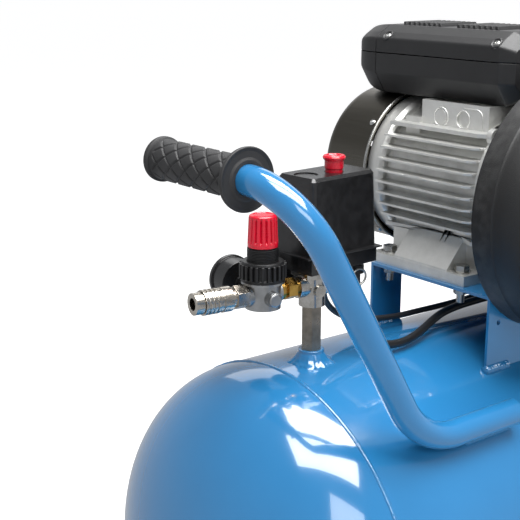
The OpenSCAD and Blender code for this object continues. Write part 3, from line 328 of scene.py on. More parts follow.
def turned(name, profile, place, material, sides=96, closed=False, wave=None, sharp=40):
    """Revolves (radius, height) points about local Z; wave(angle, radius, height) shapes the radius."""
    points, faces, n = [], [], len(profile)
    for k in range(sides):
        angle = 2 * math.pi * k / sides
        for radius, height in profile:
            r = wave(angle, radius, height) if wave else radius
            points.append(place @ Vector((r * math.cos(angle), r * math.sin(angle), height)))
    for k in range(sides):
        a, b = k * n, (k + 1) % sides * n
        for i in range(n if closed else n - 1):
            j = (i + 1) % n
            faces.append((a + i, b + i, b + j, a + j))
    return shape(name, points, faces, material, sharp)


shell_low, shell_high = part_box("tank_shell")
tank_r = (shell_high.y - shell_low.y) / 2
axis_z = (shell_low.z + shell_high.z) / 2
tank_wall = 0.0025
head_reach = shell_low.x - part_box("head_left")[0].x

PAINT = finish("powder_coat", tone(32, 102, 150), tone(35, 106, 155), 0.16, 0.03, patch=6.0,
               grain=240.0, bump=0.05, depth=0.0004, Coat_Weight=1.0, Coat_Roughness=0.03)

shell = turned("tank_shell_skin", rounded(
    [(tank_r, 0.0008), (tank_r, shell_high.x - shell_low.x - 0.0008),
     (tank_r - tank_wall, shell_high.x - shell_low.x - 0.0008), (tank_r - tank_wall, 0.0008)],
    0.0005, closed=True), along_x(shell_low.x, 0, axis_z), PAINT, sides=192, closed=True)
belongs(shell, "tank_paint", "tank_shell")


def tank_head(name, node, place):
    """Pressed head: half an ellipse outside and inside, with a skirt that slips into the shell."""
    steps = 44
    outer = [(tank_r * math.sin(t), -head_reach * math.cos(t))
             for t in (math.pi / 2 * i / steps for i in range(steps + 1))]
    inner_r, inner_reach = tank_r - 2 * tank_wall, head_reach - tank_wall
    inner = [(inner_r * math.sin(t), -inner_reach * math.cos(t))
             for t in (math.pi / 2 * i / steps for i in range(steps, -1, -1))]
    skirt = [(tank_r - tank_wall, 0.0), (tank_r - tank_wall, 0.018), (inner_r, 0.018)]
    belongs(turned(name, outer + skirt + inner, place, PAINT, sides=192), "tank_paint", node)


tank_head("head_left_skin", "head_left", along_x(shell_low.x, 0, axis_z))
tank_head("head_right_skin", "head_right",
          along_x(shell_high.x, 0, axis_z) @ Matrix.Rotation(math.pi, 4, "Y"))


def bead(name, route, width, ripple=0.0024, closed=False, seed=1, sides=10, flat=1.0):
    """Weld bead laid along close points: a round string with the ripples of its passes."""
    chance = random.Random(seed)
    offsets = [chance.uniform(-1, 1) for _ in range(len(route))]
    points, faces, n = [], [], len(route)
    walked = 0.0
    for i, here in enumerate(route):
        ahead = route[(i + 1) % n] if closed else route[min(i + 1, n - 1)]
        behind = route[i - 1] if closed else route[max(i - 1, 0)]
        along = (ahead - behind).normalized()
        side = along.cross(Vector((0.21, 0.13, 0.97))).normalized()
        up = side.cross(along)
        walked += (here - behind).length
        ends = 1.0 if closed else min(1.0, 0.35 + 2.2 * min(i, n - 1 - i) / max(6, n / 8))
        size = width / 2 * ends * (1 + 0.10 * math.sin(2 * math.pi * walked / ripple) + 0.05 * offsets[i])
        for k in range(sides):
            a = 2 * math.pi * k / sides
            points.append(here + size * (side * math.cos(a) + up * math.sin(a) * flat))
    for i in range(n if closed else n - 1):
        for k in range(sides):
            j, b = (k + 1) % sides, (i + 1) % n
            faces.append((i * sides + k, b * sides + k, b * sides + j, i * sides + j))
    if not closed:
        faces += [tuple(range(sides)), tuple((n - 1) * sides + k for k in range(sides))]
    return shape(name, points, faces, PAINT, 60)


def round_route(x, radius, count):
    return [Vector((x, radius * math.sin(a), axis_z + radius * math.cos(a)))
            for a in (2 * math.pi * i / count for i in range(count))]


for label, x in (("left", shell_low.x), ("right", shell_high.x)):
    seam = bead("seam_weld_" + label, round_route(x, tank_r - 0.0012, 900), 0.0052, seed=3, closed=True,
                sides=8)
    belongs(seam, "tank_paint", body="machine")
long_angle = math.radians(118)
long_route = [Vector((shell_low.x + 0.004 + 0.0011 * i, (tank_r - 0.0009) * math.sin(long_angle),
                      axis_z + (tank_r - 0.0009) * math.cos(long_angle))) for i in range(686)]
belongs(bead("shell_seam_weld", long_route, 0.0044, seed=5, sides=8), "tank_paint", body="machine")


def bung(name, x, top, bore=0.008):
    """Threaded steel boss on the crown of the shell, flared into it by a hand-laid fillet."""
    chance = random.Random(round(x * 1e4))
    phases = [chance.uniform(0, 6.28) for _ in range(3)]
    radius, sides = 0.012, 96
    rise = top - axis_z - tank_r
    flare = [(0.0215, -0.0004), (0.0205, 0.0008), (0.0185, 0.0017), (0.0165, 0.0030), (0.0148, 0.0050),
             (0.0135, 0.0072), (0.0124, 0.0088), (radius, 0.0094)]
    upper = rounded([(radius, 0.0094), (radius, rise), (bore, rise), (bore, rise - 0.012), (0, rise - 0.012)],
                    0.0008)
    points, faces = [], []
    profile = flare + [tuple(p) for p in upper[1:]]
    n = len(profile)
    for k in range(sides):
        a = 2 * math.pi * k / sides
        for i, (r, h) in enumerate(profile):
            share = max(0.0, 1 - h / 0.009) if i < len(flare) else 0.0
            lumps = 0.06 * math.sin(5 * a + phases[0]) + 0.04 * math.sin(9 * a + phases[1]) \
                + 0.02 * math.sin(23 * a + phases[2])
            r_here = r * (1 + lumps * share)
            dx, dy = r_here * math.cos(a), r_here * math.sin(a)
            sag = math.sqrt(tank_r ** 2 - dy ** 2) - tank_r
            points.append(Vector((x + dx, dy, axis_z + tank_r + h + sag * share)))
    for k in range(sides):
        p, q = k * n, (k + 1) % sides * n
        for i in range(n - 1):
            faces.append((p + i, q + i, q + i + 1, p + i + 1))
    floor_ring = tuple(k * n for k in range(sides))
    return shape(name, points, faces + [floor_ring], PAINT, 45)


nipple_low, nipple_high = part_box("hex_nipple")
outlet = Vector(((nipple_low.x + nipple_high.x) / 2, (nipple_low.y + nipple_high.y) / 2, 0))
bung_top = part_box("tank_bungs")[1].z
inlet_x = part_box("tank_bungs")[1].x - 0.019
for label, x in (("outlet", outlet.x), ("inlet", inlet_x)):
    belongs(bung("bung_" + label, x, bung_top), "tank_paint", "tank_bungs")


def from_cad(name, node, material, slot, bevel=0.0005, sharp=50, steps=2, angle=28):
    """Piece cut from the node's own form: merged, its flats joined again and its edges rounded."""
    mesh = frame["nodes"][node].data.copy()
    work = bmesh.new()
    work.from_mesh(mesh)
    bmesh.ops.remove_doubles(work, verts=work.verts, dist=1e-6)
    bmesh.ops.dissolve_limit(work, angle_limit=math.radians(0.6), verts=work.verts, edges=work.edges)
    if bevel:
        corners = [e for e in work.edges if e.is_manifold and e.calc_face_angle(0) > math.radians(angle)]
        bmesh.ops.bevel(work, geom=corners, offset=bevel, segments=steps, profile=0.6,
                        affect="EDGES", clamp_overlap=True)
    work.to_mesh(mesh)
    work.free()
    if "custom_normal" in mesh.attributes:
        mesh.attributes.remove(mesh.attributes["custom_normal"])
    piece = finished(name, mesh, material, sharp, weld=1e-8, outward=False)
    return belongs(piece, slot, node)


drain_bung = from_cad("bung_drain", "tank_bungs", PAINT, "tank_paint", 0.0006)
work = bmesh.new()
work.from_mesh(drain_bung.data)
bmesh.ops.delete(work, geom=[v for v in work.verts if v.co.z > axis_z], context="VERTS")
work.to_mesh(drain_bung.data)
work.free()

# ---------------------------------------------------------------- base brackets, feet and wheels
# Two folded steel brackets are welded under the tank and coated with it. Moulded rubber feet
# are bolted to the left one; moulded wheels with tyres turn on bolts through the right one.

# The lighter wear colours of the moulded plastic and the rubber mark convex edges as rubbed wear and as a
# painted edge highlight.
BLACK_PLASTIC = finish("moulded_plastic", tone(26, 26, 27), tone(20, 20, 21), 0.46, 0.12, patch=30.0,
                       grain=1600.0, bump=0.12, depth=0.0003, wear_and_highlight=(tone(70, 70, 70), 0.5))
RUBBER = finish("rubber", tone(36, 36, 37), tone(28, 28, 29), 0.62, 0.12, patch=35.0, grain=1400.0,
                bump=0.16, depth=0.0003, wear_and_highlight=(tone(70, 69, 68), 0.35))
TYRE = finish("tyre_rubber", tone(34, 34, 35), tone(44, 43, 42), 0.78, 0.15, patch=25.0, grain=700.0,
              bump=0.25, depth=0.0004)
STEEL = finish("zinc_plated_steel", tone(196, 197, 196), tone(168, 166, 160), 0.28, 0.16, patch=80.0,
               grain=1200.0, bump=0.08, metallic=1.0)

from_cad("base_bracket_skin", "base_brackets", PAINT, "tank_paint", 0.0009)
from_cad("rubber_feet_skin", "rubber_feet", RUBBER, "rubber", 0.0014)
from_cad("axle_bolts_skin", "axle_bolts", STEEL, "bright_steel", 0.0005)


def repeat(name, unit, material, count, place, step=(0, 0, 0), turn=0.0):
    """Geometry Nodes copy of one unit shape: count times, moved by step and turned about local Z."""
    tree = bpy.data.node_groups.new(name, "GeometryNodeTree")
    for label, kind in (("Geometry", "Geometry"), ("Count", "Int"), ("Step", "Vector"),
                        ("Turn", "Float"), ("Material", "Material")):
        tree.interface.new_socket(label, in_out="INPUT", socket_type="NodeSocket" + kind)
    tree.interface.new_socket("Geometry", in_out="OUTPUT", socket_type="NodeSocketGeometry")
    start, end = tree.nodes.new("NodeGroupInput"), tree.nodes.new("NodeGroupOutput")
    row = add(tree, "GeometryNodeMeshLine", {"Count": start.outputs["Count"],
              "Offset": start.outputs["Step"]}, mode="OFFSET")
    number = add(tree, "GeometryNodeInputIndex")
    angle = add(tree, "ShaderNodeMath", {0: number.outputs[0], 1: start.outputs["Turn"]},
                operation="MULTIPLY")
    swing = add(tree, "ShaderNodeCombineXYZ", {"Z": angle.outputs[0]})
    copies = add(tree, "GeometryNodeInstanceOnPoints", {"Points": row.outputs[0],
                 "Instance": start.outputs["Geometry"], "Rotation": swing.outputs[0]})
    real = add(tree, "GeometryNodeRealizeInstances", {"Geometry": copies.outputs[0]})
    coated = add(tree, "GeometryNodeSetMaterial", {"Geometry": real.outputs[0],
                 "Material": start.outputs["Material"]})
    tree.links.new(coated.outputs[0], end.inputs[0])
    maker = unit.modifiers.new(name, "NODES")
    maker.node_group = tree
    values = {"Count": count, "Step": step, "Turn": turn, "Material": material}
    for socket in tree.interface.items_tree:
        if socket.in_out == "INPUT" and socket.name in values:
            maker[socket.identifier] = values[socket.name]
    bpy.context.view_layer.update()
    ready = unit.evaluated_get(bpy.context.evaluated_depsgraph_get())
    mesh = bpy.data.meshes.new_from_object(ready)
    unit.modifiers.clear()
    mesh.transform(place)
    bpy.data.objects.remove(unit)
    return finished(name, mesh, material, 45, weld=1e-7, outward=False)


def block(name, low, high, radius, material, taper=0.0, steps=2):
    """Block with rounded edges; taper draws in its top, as a mould's draft does."""
    work = bmesh.new()
    low, high = Vector(low), Vector(high)
    bmesh.ops.create_cube(work, size=1.0)
    for v in work.verts:
        draw = taper if v.co.z > 0 else 0.0
        size = high - low - Vector((2 * draw, 2 * draw, 0))
        v.co = (low + high) / 2 + Vector((v.co.x * size.x, v.co.y * size.y, v.co.z * size.z))
    bmesh.ops.bevel(work, geom=work.edges[:], offset=radius, segments=steps, profile=0.6,
                    affect="EDGES", clamp_overlap=True)
    mesh = bpy.data.meshes.new(name)
    work.to_mesh(mesh)
    work.free()
    return finished(name, mesh, material, 50, weld=1e-8)


for side in ("near", "far"):
    from_cad("wheel_disc_" + side, "wheel_" + side, BLACK_PLASTIC, "black_plastic", 0.0009)
    low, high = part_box("tyre_" + side)
    middle, wide = (low + high) / 2, high.y - low.y
    tyre_r = (high.x - low.x) / 2
    carcass_r, rim_r = tyre_r - 0.0022, 0.058
    half = wide / 2
    wall = rounded([(rim_r, 0.002 - half), (rim_r + 0.006, 0.0008 - half), (rim_r + 0.009, -half),
                    (carcass_r - 0.006, -half, 0.006), (carcass_r, 0.007 - half, 0.006),
                    (carcass_r, half - 0.007, 0.006), (carcass_r - 0.006, half, 0.006),
                    (rim_r + 0.009, half), (rim_r + 0.006, half - 0.0008), (rim_r, half - 0.002)],
                   0.002, closed=True)
    place = along_y(middle.x, middle.y, middle.z)
    carcass = turned("tyre_carcass_" + side, wall, place, TYRE, sides=120, closed=True)
    belongs(carcass, "tyre_rubber", "tyre_" + side)
    lug = block("lug", (carcass_r - 0.002, -0.0024, -0.0125), (tyre_r, 0.0024, 0.0125), 0.0008, TYRE)
    tread = repeat("tyre_tread_" + side, lug, TYRE, 40, place, turn=2 * math.pi / 40)
    belongs(tread, "tyre_rubber", "tyre_" + side)

# ---------------------------------------------------------------- bracket for motor and pump
# One folded plate carries both machines. Its flanges stand on the tank and are welded to it
# at their corners, under the same coat as the tank.

from_cad("machine_bracket_skin", "machine_bracket", PAINT, "tank_paint", 0.0011, steps=3)
deck_low, deck_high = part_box("machine_bracket")


def on_tank(x, y, lift=0.0):
    """Point over the crown side of the shell at a place along and across it."""
    return Vector((x, y, axis_z + math.sqrt((tank_r + lift) ** 2 - y ** 2)))


def tank_run(x0, x1, y, lift=0.0006, step=0.0006):
    count = max(8, int(abs(x1 - x0) / step))
    return [on_tank(x0 + (x1 - x0) * i / count, y, lift) for i in range(count + 1)]


for side, y in (("near", deck_low.y), ("far", deck_high.y)):
    for label, x0, x1 in (("left", deck_low.x - 0.004, deck_low.x + 0.030),
                          ("middle", deck_low.x + 0.235, deck_low.x + 0.270),
                          ("right", deck_high.x - 0.034, deck_high.x + 0.003)):
        weld = bead("bracket_weld_%s_%s" % (side, label), tank_run(x0, x1, y), 0.0085, 0.0032,
                    seed=len(label))
        belongs(weld, "tank_paint", body="machine")

# ---------------------------------------------------------------- handle
# A round steel tube bent twice, its foot welded flat on the shell. The rubber grip is pushed
# on over the free end: a flange by the bend, then raised lozenges for a firm hold.

tube_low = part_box("handle_tube")[0]
grip_low, grip_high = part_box("handle_grip")
tube_r = 0.0125
grip_x, grip_z = (grip_low.x + grip_high.x) / 2, (grip_low.z + grip_high.z) / 2
foot_y = tube_low.y + tube_r
foot_z = axis_z + math.sqrt((tank_r + tube_r) ** 2 - foot_y ** 2)
bend_x = shell_low.x + 0.048


def bent_route(corners, radii, step=0.0025):
    """Close points along a bent tube: straights joined by round bends."""
    route = [corners[0]]
    for before, corner, after, radius in zip(corners, corners[1:], corners[2:], radii):
        way_in, way_out = (corner - before).normalized(), (after - corner).normalized()
        turn = way_in.angle(way_out)
        inward = (way_out - way_in * way_in.dot(way_out)).normalized()
        centre = corner - way_in * radius * math.tan(turn / 2) + inward * radius
        count = max(6, int(radius * turn / step))
        route += [centre + radius * (way_in * math.sin(turn * i / count)
                                     - inward * math.cos(turn * i / count))
                  for i in range(count + 1)]
    route.append(corners[-1])
    return route


def tube(name, route, radius, material, bore=0.0, sides=48, sharp=40):
    """Round bar, or pipe with a bore, swept along close points without twisting."""
    side = None
    rings = []
    for i, here in enumerate(route):
        along = (route[min(i + 1, len(route) - 1)] - route[max(i - 1, 0)]).normalized()
        side = side - along * side.dot(along) if side else along.cross(Vector((0.13, -0.97, 0.5)))
        side.normalize()
        up = along.cross(side)
        rings.append([(side * math.cos(a) + up * math.sin(a))
                      for a in (2 * math.pi * k / sides for k in range(sides))])
    points, faces, n = [], [], len(route)
    layers = [radius, bore] if bore else [radius]
    for size in layers:
        points += [route[i] + d * size for i in range(n) for d in rings[i]]
    for layer in range(len(layers)):
        base = layer * n * sides
        for i in range(n - 1):
            for k in range(sides):
                j = (k + 1) % sides
                faces.append((base + i * sides + k, base + (i + 1) * sides + k,
                              base + (i + 1) * sides + j, base + i * sides + j))
    for i in (0, n - 1):
        if bore:
            faces += [(i * sides + k, i * sides + (k + 1) % sides, (n + i) * sides + (k + 1) % sides,
                       (n + i) * sides + k) for k in range(sides)]
        else:
            faces.append(tuple(i * sides + k for k in range(sides)))
    return shape(name, points, faces, material, sharp)


handle_corners = [Vector((shell_low.x + 0.166, foot_y, foot_z)), Vector((bend_x, foot_y, foot_z)),
                  Vector((grip_x, -0.126, grip_z)), Vector((grip_x, grip_high.y - 0.006, grip_z))]
handle = tube("handle_bar", bent_route(handle_corners, (0.075, 0.060)), tube_r, PAINT, bore=0.0105)
belongs(handle, "tank_paint", "handle_tube")
contact_y = foot_y * tank_r / (tank_r + tube_r)
for label, shift, seed in (("outer", -0.0062, 11), ("inner", 0.0062, 12)):
    run = tank_run(handle_corners[0].x - 0.062, handle_corners[0].x - 0.002, contact_y + shift, 0.0012)
    belongs(bead("handle_foot_weld_" + label, run, 0.0080, 0.003, seed=seed), "tank_paint", body="machine")

grip_r, flange_r = 0.0175, 0.026
grip_len = grip_high.y - grip_low.y


def lozenge(angle, radius, height):
    """Raises lozenges between crossing grooves on the plain stretch of the grip."""
    if radius < grip_r - 0.0001 or not 0.014 < height < grip_len - 0.010:
        return radius
    around, along = angle * 7 / math.pi, height / 0.0105
    first = abs((around + along) % 2 - 1)
    second = abs((around - along) % 2 - 1)
    groove = min(first, second)
    edge = min(1.0, (height - 0.014) / 0.002, (grip_len - 0.010 - height) / 0.002)
    return radius - 0.0013 * max(0.0, 1 - groove / 0.20) ** 0.7 * edge


grip_body = [(grip_r, 0.0112 + (grip_len - 0.0172) * i / 210) for i in range(211)]
grip_profile = rounded([(tube_r + 0.0002, 0.0), (0.0155, 0.0), (0.0175, 0.0012), (0.0225, 0.0014),
                        (flange_r - 0.0006, 0.0005), (flange_r, 0.0016), (flange_r - 0.0005, 0.0046),
                        (0.0212, 0.0062), (grip_r + 0.0012, 0.0085, 0.003), (grip_r, 0.0112)], 0.0012)[:-1]
grip_end = rounded([(grip_r, grip_len - 0.006), (grip_r + 0.0019, grip_len - 0.005),
                    (grip_r + 0.0019, grip_len - 0.0012), (grip_r - 0.001, grip_len),
                    (0.004, grip_len), (0.0, grip_len - 0.0006)], 0.0010)
grip_bore = [(0.0, grip_len - 0.0058), (tube_r + 0.0002, grip_len - 0.0058), (tube_r + 0.0002, 0.0)]
grip = turned("grip_sleeve", [tuple(p) for p in grip_profile] + grip_body + [tuple(p) for p in grip_end[1:]]
              + grip_bore, along_y(grip_x, grip_low.y, grip_z), RUBBER, sides=224, wave=lozenge, sharp=60)
belongs(grip, "rubber", "handle_grip")

# ---------------------------------------------------------------- outlet: nipple, manifold, valves
# A zinc-plated hexagon nipple screws into the bung and carries a plated cross manifold. Brass
# fittings join the regulator on one side and the relief valve, with its pull ring, on the other.

PLATED = finish("dull_zinc_plating", tone(158, 150, 138), tone(128, 120, 108), 0.34, 0.16, patch=70.0,
                grain=900.0, bump=0.10, metallic=1.0)
CHROME = finish("plated_casting", tone(205, 203, 198), tone(176, 172, 165), 0.20, 0.14, patch=90.0,
                grain=600.0, bump=0.12, metallic=1.0)
ZINC = finish("die_cast_zinc", tone(186, 187, 187), tone(160, 161, 161), 0.36, 0.14, patch=60.0,
              grain=1100.0, bump=0.14, metallic=1.0)
BRASS = finish("brass", tone(212, 172, 92), tone(176, 134, 64), 0.24, 0.14, patch=80.0, grain=900.0,
               bump=0.08, metallic=1.0)

from_cad("nipple_body", "hex_nipple", PLATED, "bright_steel", 0.0007)
from_cad("manifold_body", "manifold", CHROME, "zinc", 0.0009, steps=3)
from_cad("brass_fitting_bodies", "brass_fittings", BRASS, "brass", 0.0006)
from_cad("relief_valve_body", "safety_valve", BRASS, "brass", 0.0006)
from_cad("relief_ring", "safety_ring", STEEL, "bright_steel", 0)

# ---------------------------------------------------------------- regulator
# A die-cast body with a plugged side port, a coarse-ribbed ring nut, a threaded bonnet and
# the fluted red knob that sets the outlet pressure.

bonnet_low, bonnet_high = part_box("regulator_bonnet")
ring_low, ring_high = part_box("ring_nut")
knob_low, knob_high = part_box("regulator_knob")
line = Vector(((bonnet_low.x + bonnet_high.x) / 2, (bonnet_low.y + bonnet_high.y) / 2, 0))
outward = (line - outlet).normalized()
line_angle = math.atan2(outward.y, outward.x) + math.pi
port_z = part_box("coupler_body")[0].z + (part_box("coupler_body")[1].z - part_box("coupler_body")[0].z) / 2


def at_line(height, turn=0.0):
    """Place on the regulator's axis at a height, its local X pointing back to the nipple."""
    return Matrix.Translation((line.x, line.y, height)) @ Matrix.Rotation(line_angle + turn, 4, "Z")


RED = finish("red_plastic", tone(190, 8, 38), tone(172, 4, 30), 0.26, 0.08, patch=40.0, grain=900.0,
             bump=0.05, Coat_Weight=0.4, Coat_Roughness=0.12)
THREAD_PLASTIC = finish("satin_black_plastic", tone(24, 24, 25), tone(17, 17, 18), 0.38, 0.12,
                        patch=40.0, grain=1700.0, bump=0.10)

from_cad("regulator_casting", "regulator_body", ZINC, "zinc", 0.0013, steps=3)
plug = turned("regulator_plug", rounded([(0, 0.0), (0.0062, 0.0), (0.0062, 0.0014), (0.0048, 0.0022),
              (0.0, 0.0022)], 0.0005),
              at_line(port_z - 0.0015) @ Matrix.Translation((0, -0.0212, 0))
              @ Matrix.Rotation(math.pi / 2, 4, "X"),
              ZINC, sides=64)
belongs(plug, "zinc", body="machine")

ring_r = 0.0193
ring_h = ring_high.z - ring_low.z
ring_core = turned("ring_nut_core", rounded(
    [(0.0142, 0.0), (ring_r, 0.0), (ring_r, 0.0028), (ring_r - 0.0016, 0.0034),
     (ring_r - 0.0016, ring_h - 0.0032),
     (ring_r - 0.0002, ring_h - 0.0022), (ring_r - 0.0010, ring_h), (0.0142, ring_h)], 0.0005, closed=True),
    at_line(ring_low.z), THREAD_PLASTIC, closed=True)
belongs(ring_core, "black_plastic", "ring_nut")
rib = block("rib", (ring_r - 0.003, -0.0013, 0.0030), (ring_r + 0.0017, 0.0013, ring_h - 0.0020), 0.0006,
            THREAD_PLASTIC, steps=3)
ring_ribs = repeat("ring_nut_ribs", rib, THREAD_PLASTIC, 24, at_line(ring_low.z), turn=math.radians(15))
belongs(ring_ribs, "black_plastic", "ring_nut")

bonnet_r = (bonnet_high.x - bonnet_low.x) / 2
bonnet_top = knob_low.z - 0.0004
threads = []
for i in range(8):
    z = ring_h + 0.0008 + 0.00135 * i
    threads += [(bonnet_r, z), (bonnet_r, z + 0.0006), (bonnet_r - 0.0007, z + 0.00085),
                (bonnet_r - 0.0007, z + 0.0011)]
bonnet = turned("bonnet_thread", [(0.0, 0.004), (bonnet_r - 0.0005, 0.004), (bonnet_r, 0.0045)] + threads
                + [(bonnet_r - 0.0004, bonnet_top - ring_low.z), (0.0048, bonnet_top - ring_low.z),
                   (0.0048, bonnet_high.z - ring_low.z - 0.0002), (0.0, bonnet_high.z - ring_low.z - 0.0002)],
                at_line(ring_low.z), THREAD_PLASTIC, sides=128)
belongs(bonnet, "black_plastic", "regulator_bonnet")

knob_r, knob_h = (knob_high.x - knob_low.x) / 2, knob_high.z - knob_low.z
flutes = 17


def fluted(angle, radius, height):
    """Presses rounded flutes into the side of the knob, fading out at skirt and crown."""
    if radius < knob_r - 0.0035:
        return radius
    fade = min(1.0, max(0.0, (height - 0.0036) / 0.0022), max(0.0, (knob_h - 0.0020 - height) / 0.0032))
    dip = max(0.0, math.cos(angle * flutes)) ** 1.6
    return radius - 0.0019 * dip * max(0.0, fade)


side_steps = 30
knob_side = [(knob_r - 0.0010 * (i / side_steps), 0.0036 + (knob_h - 0.0070) * i / side_steps)
             for i in range(side_steps + 1)]
knob_top = rounded([knob_side[-1], (knob_r - 0.0014, knob_h - 0.0012, 0.0020),
                    (knob_r - 0.0042, knob_h, 0.0022),
                    (knob_r - 0.0052, knob_h - 0.0010), (0.0, knob_h - 0.0012)], 0.0006, steps=6)
knob = turned("pressure_knob_cap", [(0.0, 0.0040), (0.0052, 0.0040), (0.0052, 0.0)]
              + [tuple(p) for p in rounded([(0.0054, 0.0), (knob_r, 0.0), (knob_r, 0.0030), knob_side[0]],
                                           0.0007)] + knob_side[1:] + [tuple(p) for p in knob_top[1:]],
              at_line(knob_low.z), RED, sides=17 * 16, wave=fluted, sharp=50)
belongs(knob, "red_plastic", "regulator_knob")

# ---------------------------------------------------------------- gauges
# Two gauges stand behind the manifold and the regulator: a black steel case, a printed dial
# with plain marks, a red needle on its own spindle and a clear lens.

DIAL = finish("dial_enamel", tone(240, 240, 236), tone(228, 228, 222), 0.42, 0.08, patch=60.0,
              grain=500.0, bump=0.03)
LENS = finish("clear_lens", (1, 1, 1, 1), (0.97, 0.98, 0.98, 1), 0.04, 0.02, patch=30.0, grain=300.0,
              bump=0.01, Transmission_Weight=1.0, IOR=1.46)
INK = finish("dial_ink", tone(22, 22, 24), tone(34, 34, 36), 0.5, 0.05)
# Its lighter wear colour marks convex edges as rubbed wear and as a painted edge highlight.
GLOSS_BLACK = finish("gloss_black_plastic", tone(19, 19, 20), tone(16, 16, 17), 0.26, 0.03, patch=8.0,
                     grain=1300.0, bump=0.07, depth=0.0003, wear_and_highlight=(tone(44, 44, 46), 0.25),
                     Coat_Weight=0.25, Coat_Roughness=0.2)

from_cad("gauge_case_skins", "gauge_cases", GLOSS_BLACK, "black_plastic", 0.0009, steps=3)
from_cad("gauge_dial_plates", "gauge_dials", DIAL, "dial_white", 0)
from_cad("gauge_lens_discs", "gauge_lenses", LENS, "clear_lens", 0.0003)
from_cad("tank_needle_hand", "needle_tank", RED, "red_plastic", 0.0001)
from_cad("line_needle_hand", "needle_line", RED, "red_plastic", 0.0001)
dial_front = 0.0540
for label, centre in (("tank", outlet), ("line", line)):
    turn_home = Matrix.Rotation(line_angle, 4, "Z")
    face = Matrix.Translation((centre.x, centre.y, port_z)) @ turn_home \
        @ Matrix.Translation((0, dial_front + 0.0001, 0)) @ Matrix.Rotation(-math.pi / 2, 4, "X") \
        @ Matrix.Rotation(math.radians(135), 4, "Z")
    mark = block("mark", (0.0135, -0.00035, 0.0), (0.0165, 0.00035, 0.00015), 0.00005, INK, steps=1)
    belongs(repeat("%s_dial_marks" % label, mark, INK, 11, face, turn=math.radians(27)), "black_plastic",
            body="machine")

# ---------------------------------------------------------------- quick coupler
# Nickel-plated steel: a hexagon, a sprung sleeve with grip grooves that is drawn back to free
# the hose plug, and an open nose. The plating is warm grey and lightly scuffed.

NICKEL = finish("nickel_plating", tone(214, 208, 198), tone(178, 170, 158), 0.22, 0.18, patch=90.0,
                grain=1000.0, bump=0.10, metallic=1.0)
from_cad("coupler_hexagon", "coupler_body", NICKEL, "nickel", 0.0006)
from_cad("coupler_grip_sleeve", "coupler_sleeve", NICKEL, "nickel", 0.0004)

# ---------------------------------------------------------------- pressure switch
# A moulded base on the manifold holds the contacts; a tall cover with a shallow round recess
# closes it. The red knob is pulled up to run and pushed down to stop.

from_cad("switch_base_skin", "switch_base", GLOSS_BLACK, "gloss_black", 0.0007)
from_cad("switch_cover_skin", "switch_cover", GLOSS_BLACK, "gloss_black", 0.0007, angle=35)
base_low, base_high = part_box("switch_base")
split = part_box("switch_cover")[0].z
lip = block("switch_split_lip", (base_low.x - 0.0003, base_low.y - 0.0003, split - 0.0012),
            (base_high.x + 0.0003, base_high.y + 0.0003, split + 0.0002), 0.0004, GLOSS_BLACK)
belongs(lip, "gloss_black", body="machine")
stem_low, stem_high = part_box("switch_knob")
stem = Vector(((stem_low.x + stem_high.x) / 2, (stem_low.y + stem_high.y) / 2, 0))
cap_r, cover_top = (stem_high.x - stem_low.x) / 2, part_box("switch_cover")[1].z
cap_h = stem_high.z - cover_top
button = turned("switch_button", rounded(
    [(0, stem_low.z - cover_top), (0.0079, stem_low.z - cover_top), (0.0079, 0.0028), (0.0086, 0.0032),
     (0.0086, cap_h - 0.0048), (cap_r - 0.0006, cap_h - 0.0036), (cap_r, cap_h - 0.0018),
     (cap_r - 0.0012, cap_h),
     (0.0072, cap_h), (0.0062, cap_h - 0.0011), (0, cap_h - 0.0013)], 0.0007),
    Matrix.Translation((stem.x, stem.y, cover_top)), RED, sides=96)
belongs(button, "red_plastic", "switch_knob")
from_cad("gland_nuts", "cable_glands", BLACK_PLASTIC, "black_plastic", 0.0006)

# ---------------------------------------------------------------- motor lead and unloader tube
# A rubber-sheathed lead runs from the switch behind the handle, along the crown of the tank
# under the bracket and up into the terminal pad. A thin tube beside it vents the check valve.


def in_row(points):
    """Route points, in millimetres from the left seam and the tank's axis, as row-frame points."""
    return [Vector((shell_low.x + x / 1000, y / 1000, axis_z + z / 1000)) for x, y, z in points]


def smooth_route(points, each=6):
    """Close points on a smooth curve through the route's own points."""
    made = []
    for i in range(len(points) - 1):
        p0, p1 = points[max(i - 1, 0)], points[i]
        p2, p3 = points[i + 1], points[min(i + 2, len(points) - 1)]
        for k in range(each):
            t = k / each
            made.append(0.5 * ((2 * p1) + (p2 - p0) * t + (2 * p0 - 5 * p1 + 4 * p2 - p3) * t * t
                               + (3 * p1 - p0 - 3 * p2 + p3) * t ** 3))
    return made + [points[-1]]


LEAD = finish("lead_sheath", tone(27, 27, 28), tone(22, 22, 23), 0.36, 0.10, patch=40.0, grain=900.0,
              bump=0.08)
lead_route = in_row([
    (97, 5, 258), (97, 5, 249), (97, 1, 238), (94, -8, 226), (91, -17, 215), (92, -23, 204),
    (100, -26, 196), (114, -27, 192), (132, -26, 191), (150, -22, 192), (170, -15, 194),
    (190, -8, 197), (210, -2, 199), (235, 2, 200), (260, 4, 200), (285, 5, 200), (310, 5, 200),
    (332, 5, 202), (350, 5, 208), (364, 5, 218), (372, 5, 231), (375, 5, 246), (377, 5, 264),
    (378, 5, 284), (379, 5, 304), (379, 5, 324), (379, 5, 344), (378, 5, 360), (374, 5, 374),
    (366, 5, 388), (354, 5, 393), (341, 5, 393)])
unloader_route = in_row([
    (74, 22, 262), (74, 22, 253), (76, 27, 242), (82, 33, 230), (91, 37, 219), (103, 39, 209),
    (118, 39, 201), (136, 37, 196), (156, 34, 194), (178, 31, 193), (202, 28, 194), (228, 25, 195),
    (256, 23, 196), (284, 22, 197), (312, 20, 198), (340, 17, 200), (364, 12, 204), (384, 7, 209),
    (402, 3, 213), (416, 0, 214), (426, 0, 214)])
for name, node, route, radius in (("motor_lead_sheath", "motor_lead", lead_route, 0.004),
                                  ("unloader_tube_skin", "unloader_tube", unloader_route, 0.003)):
    belongs(tube(name, smooth_route(route), radius, LEAD, sides=20), "rubber", node)

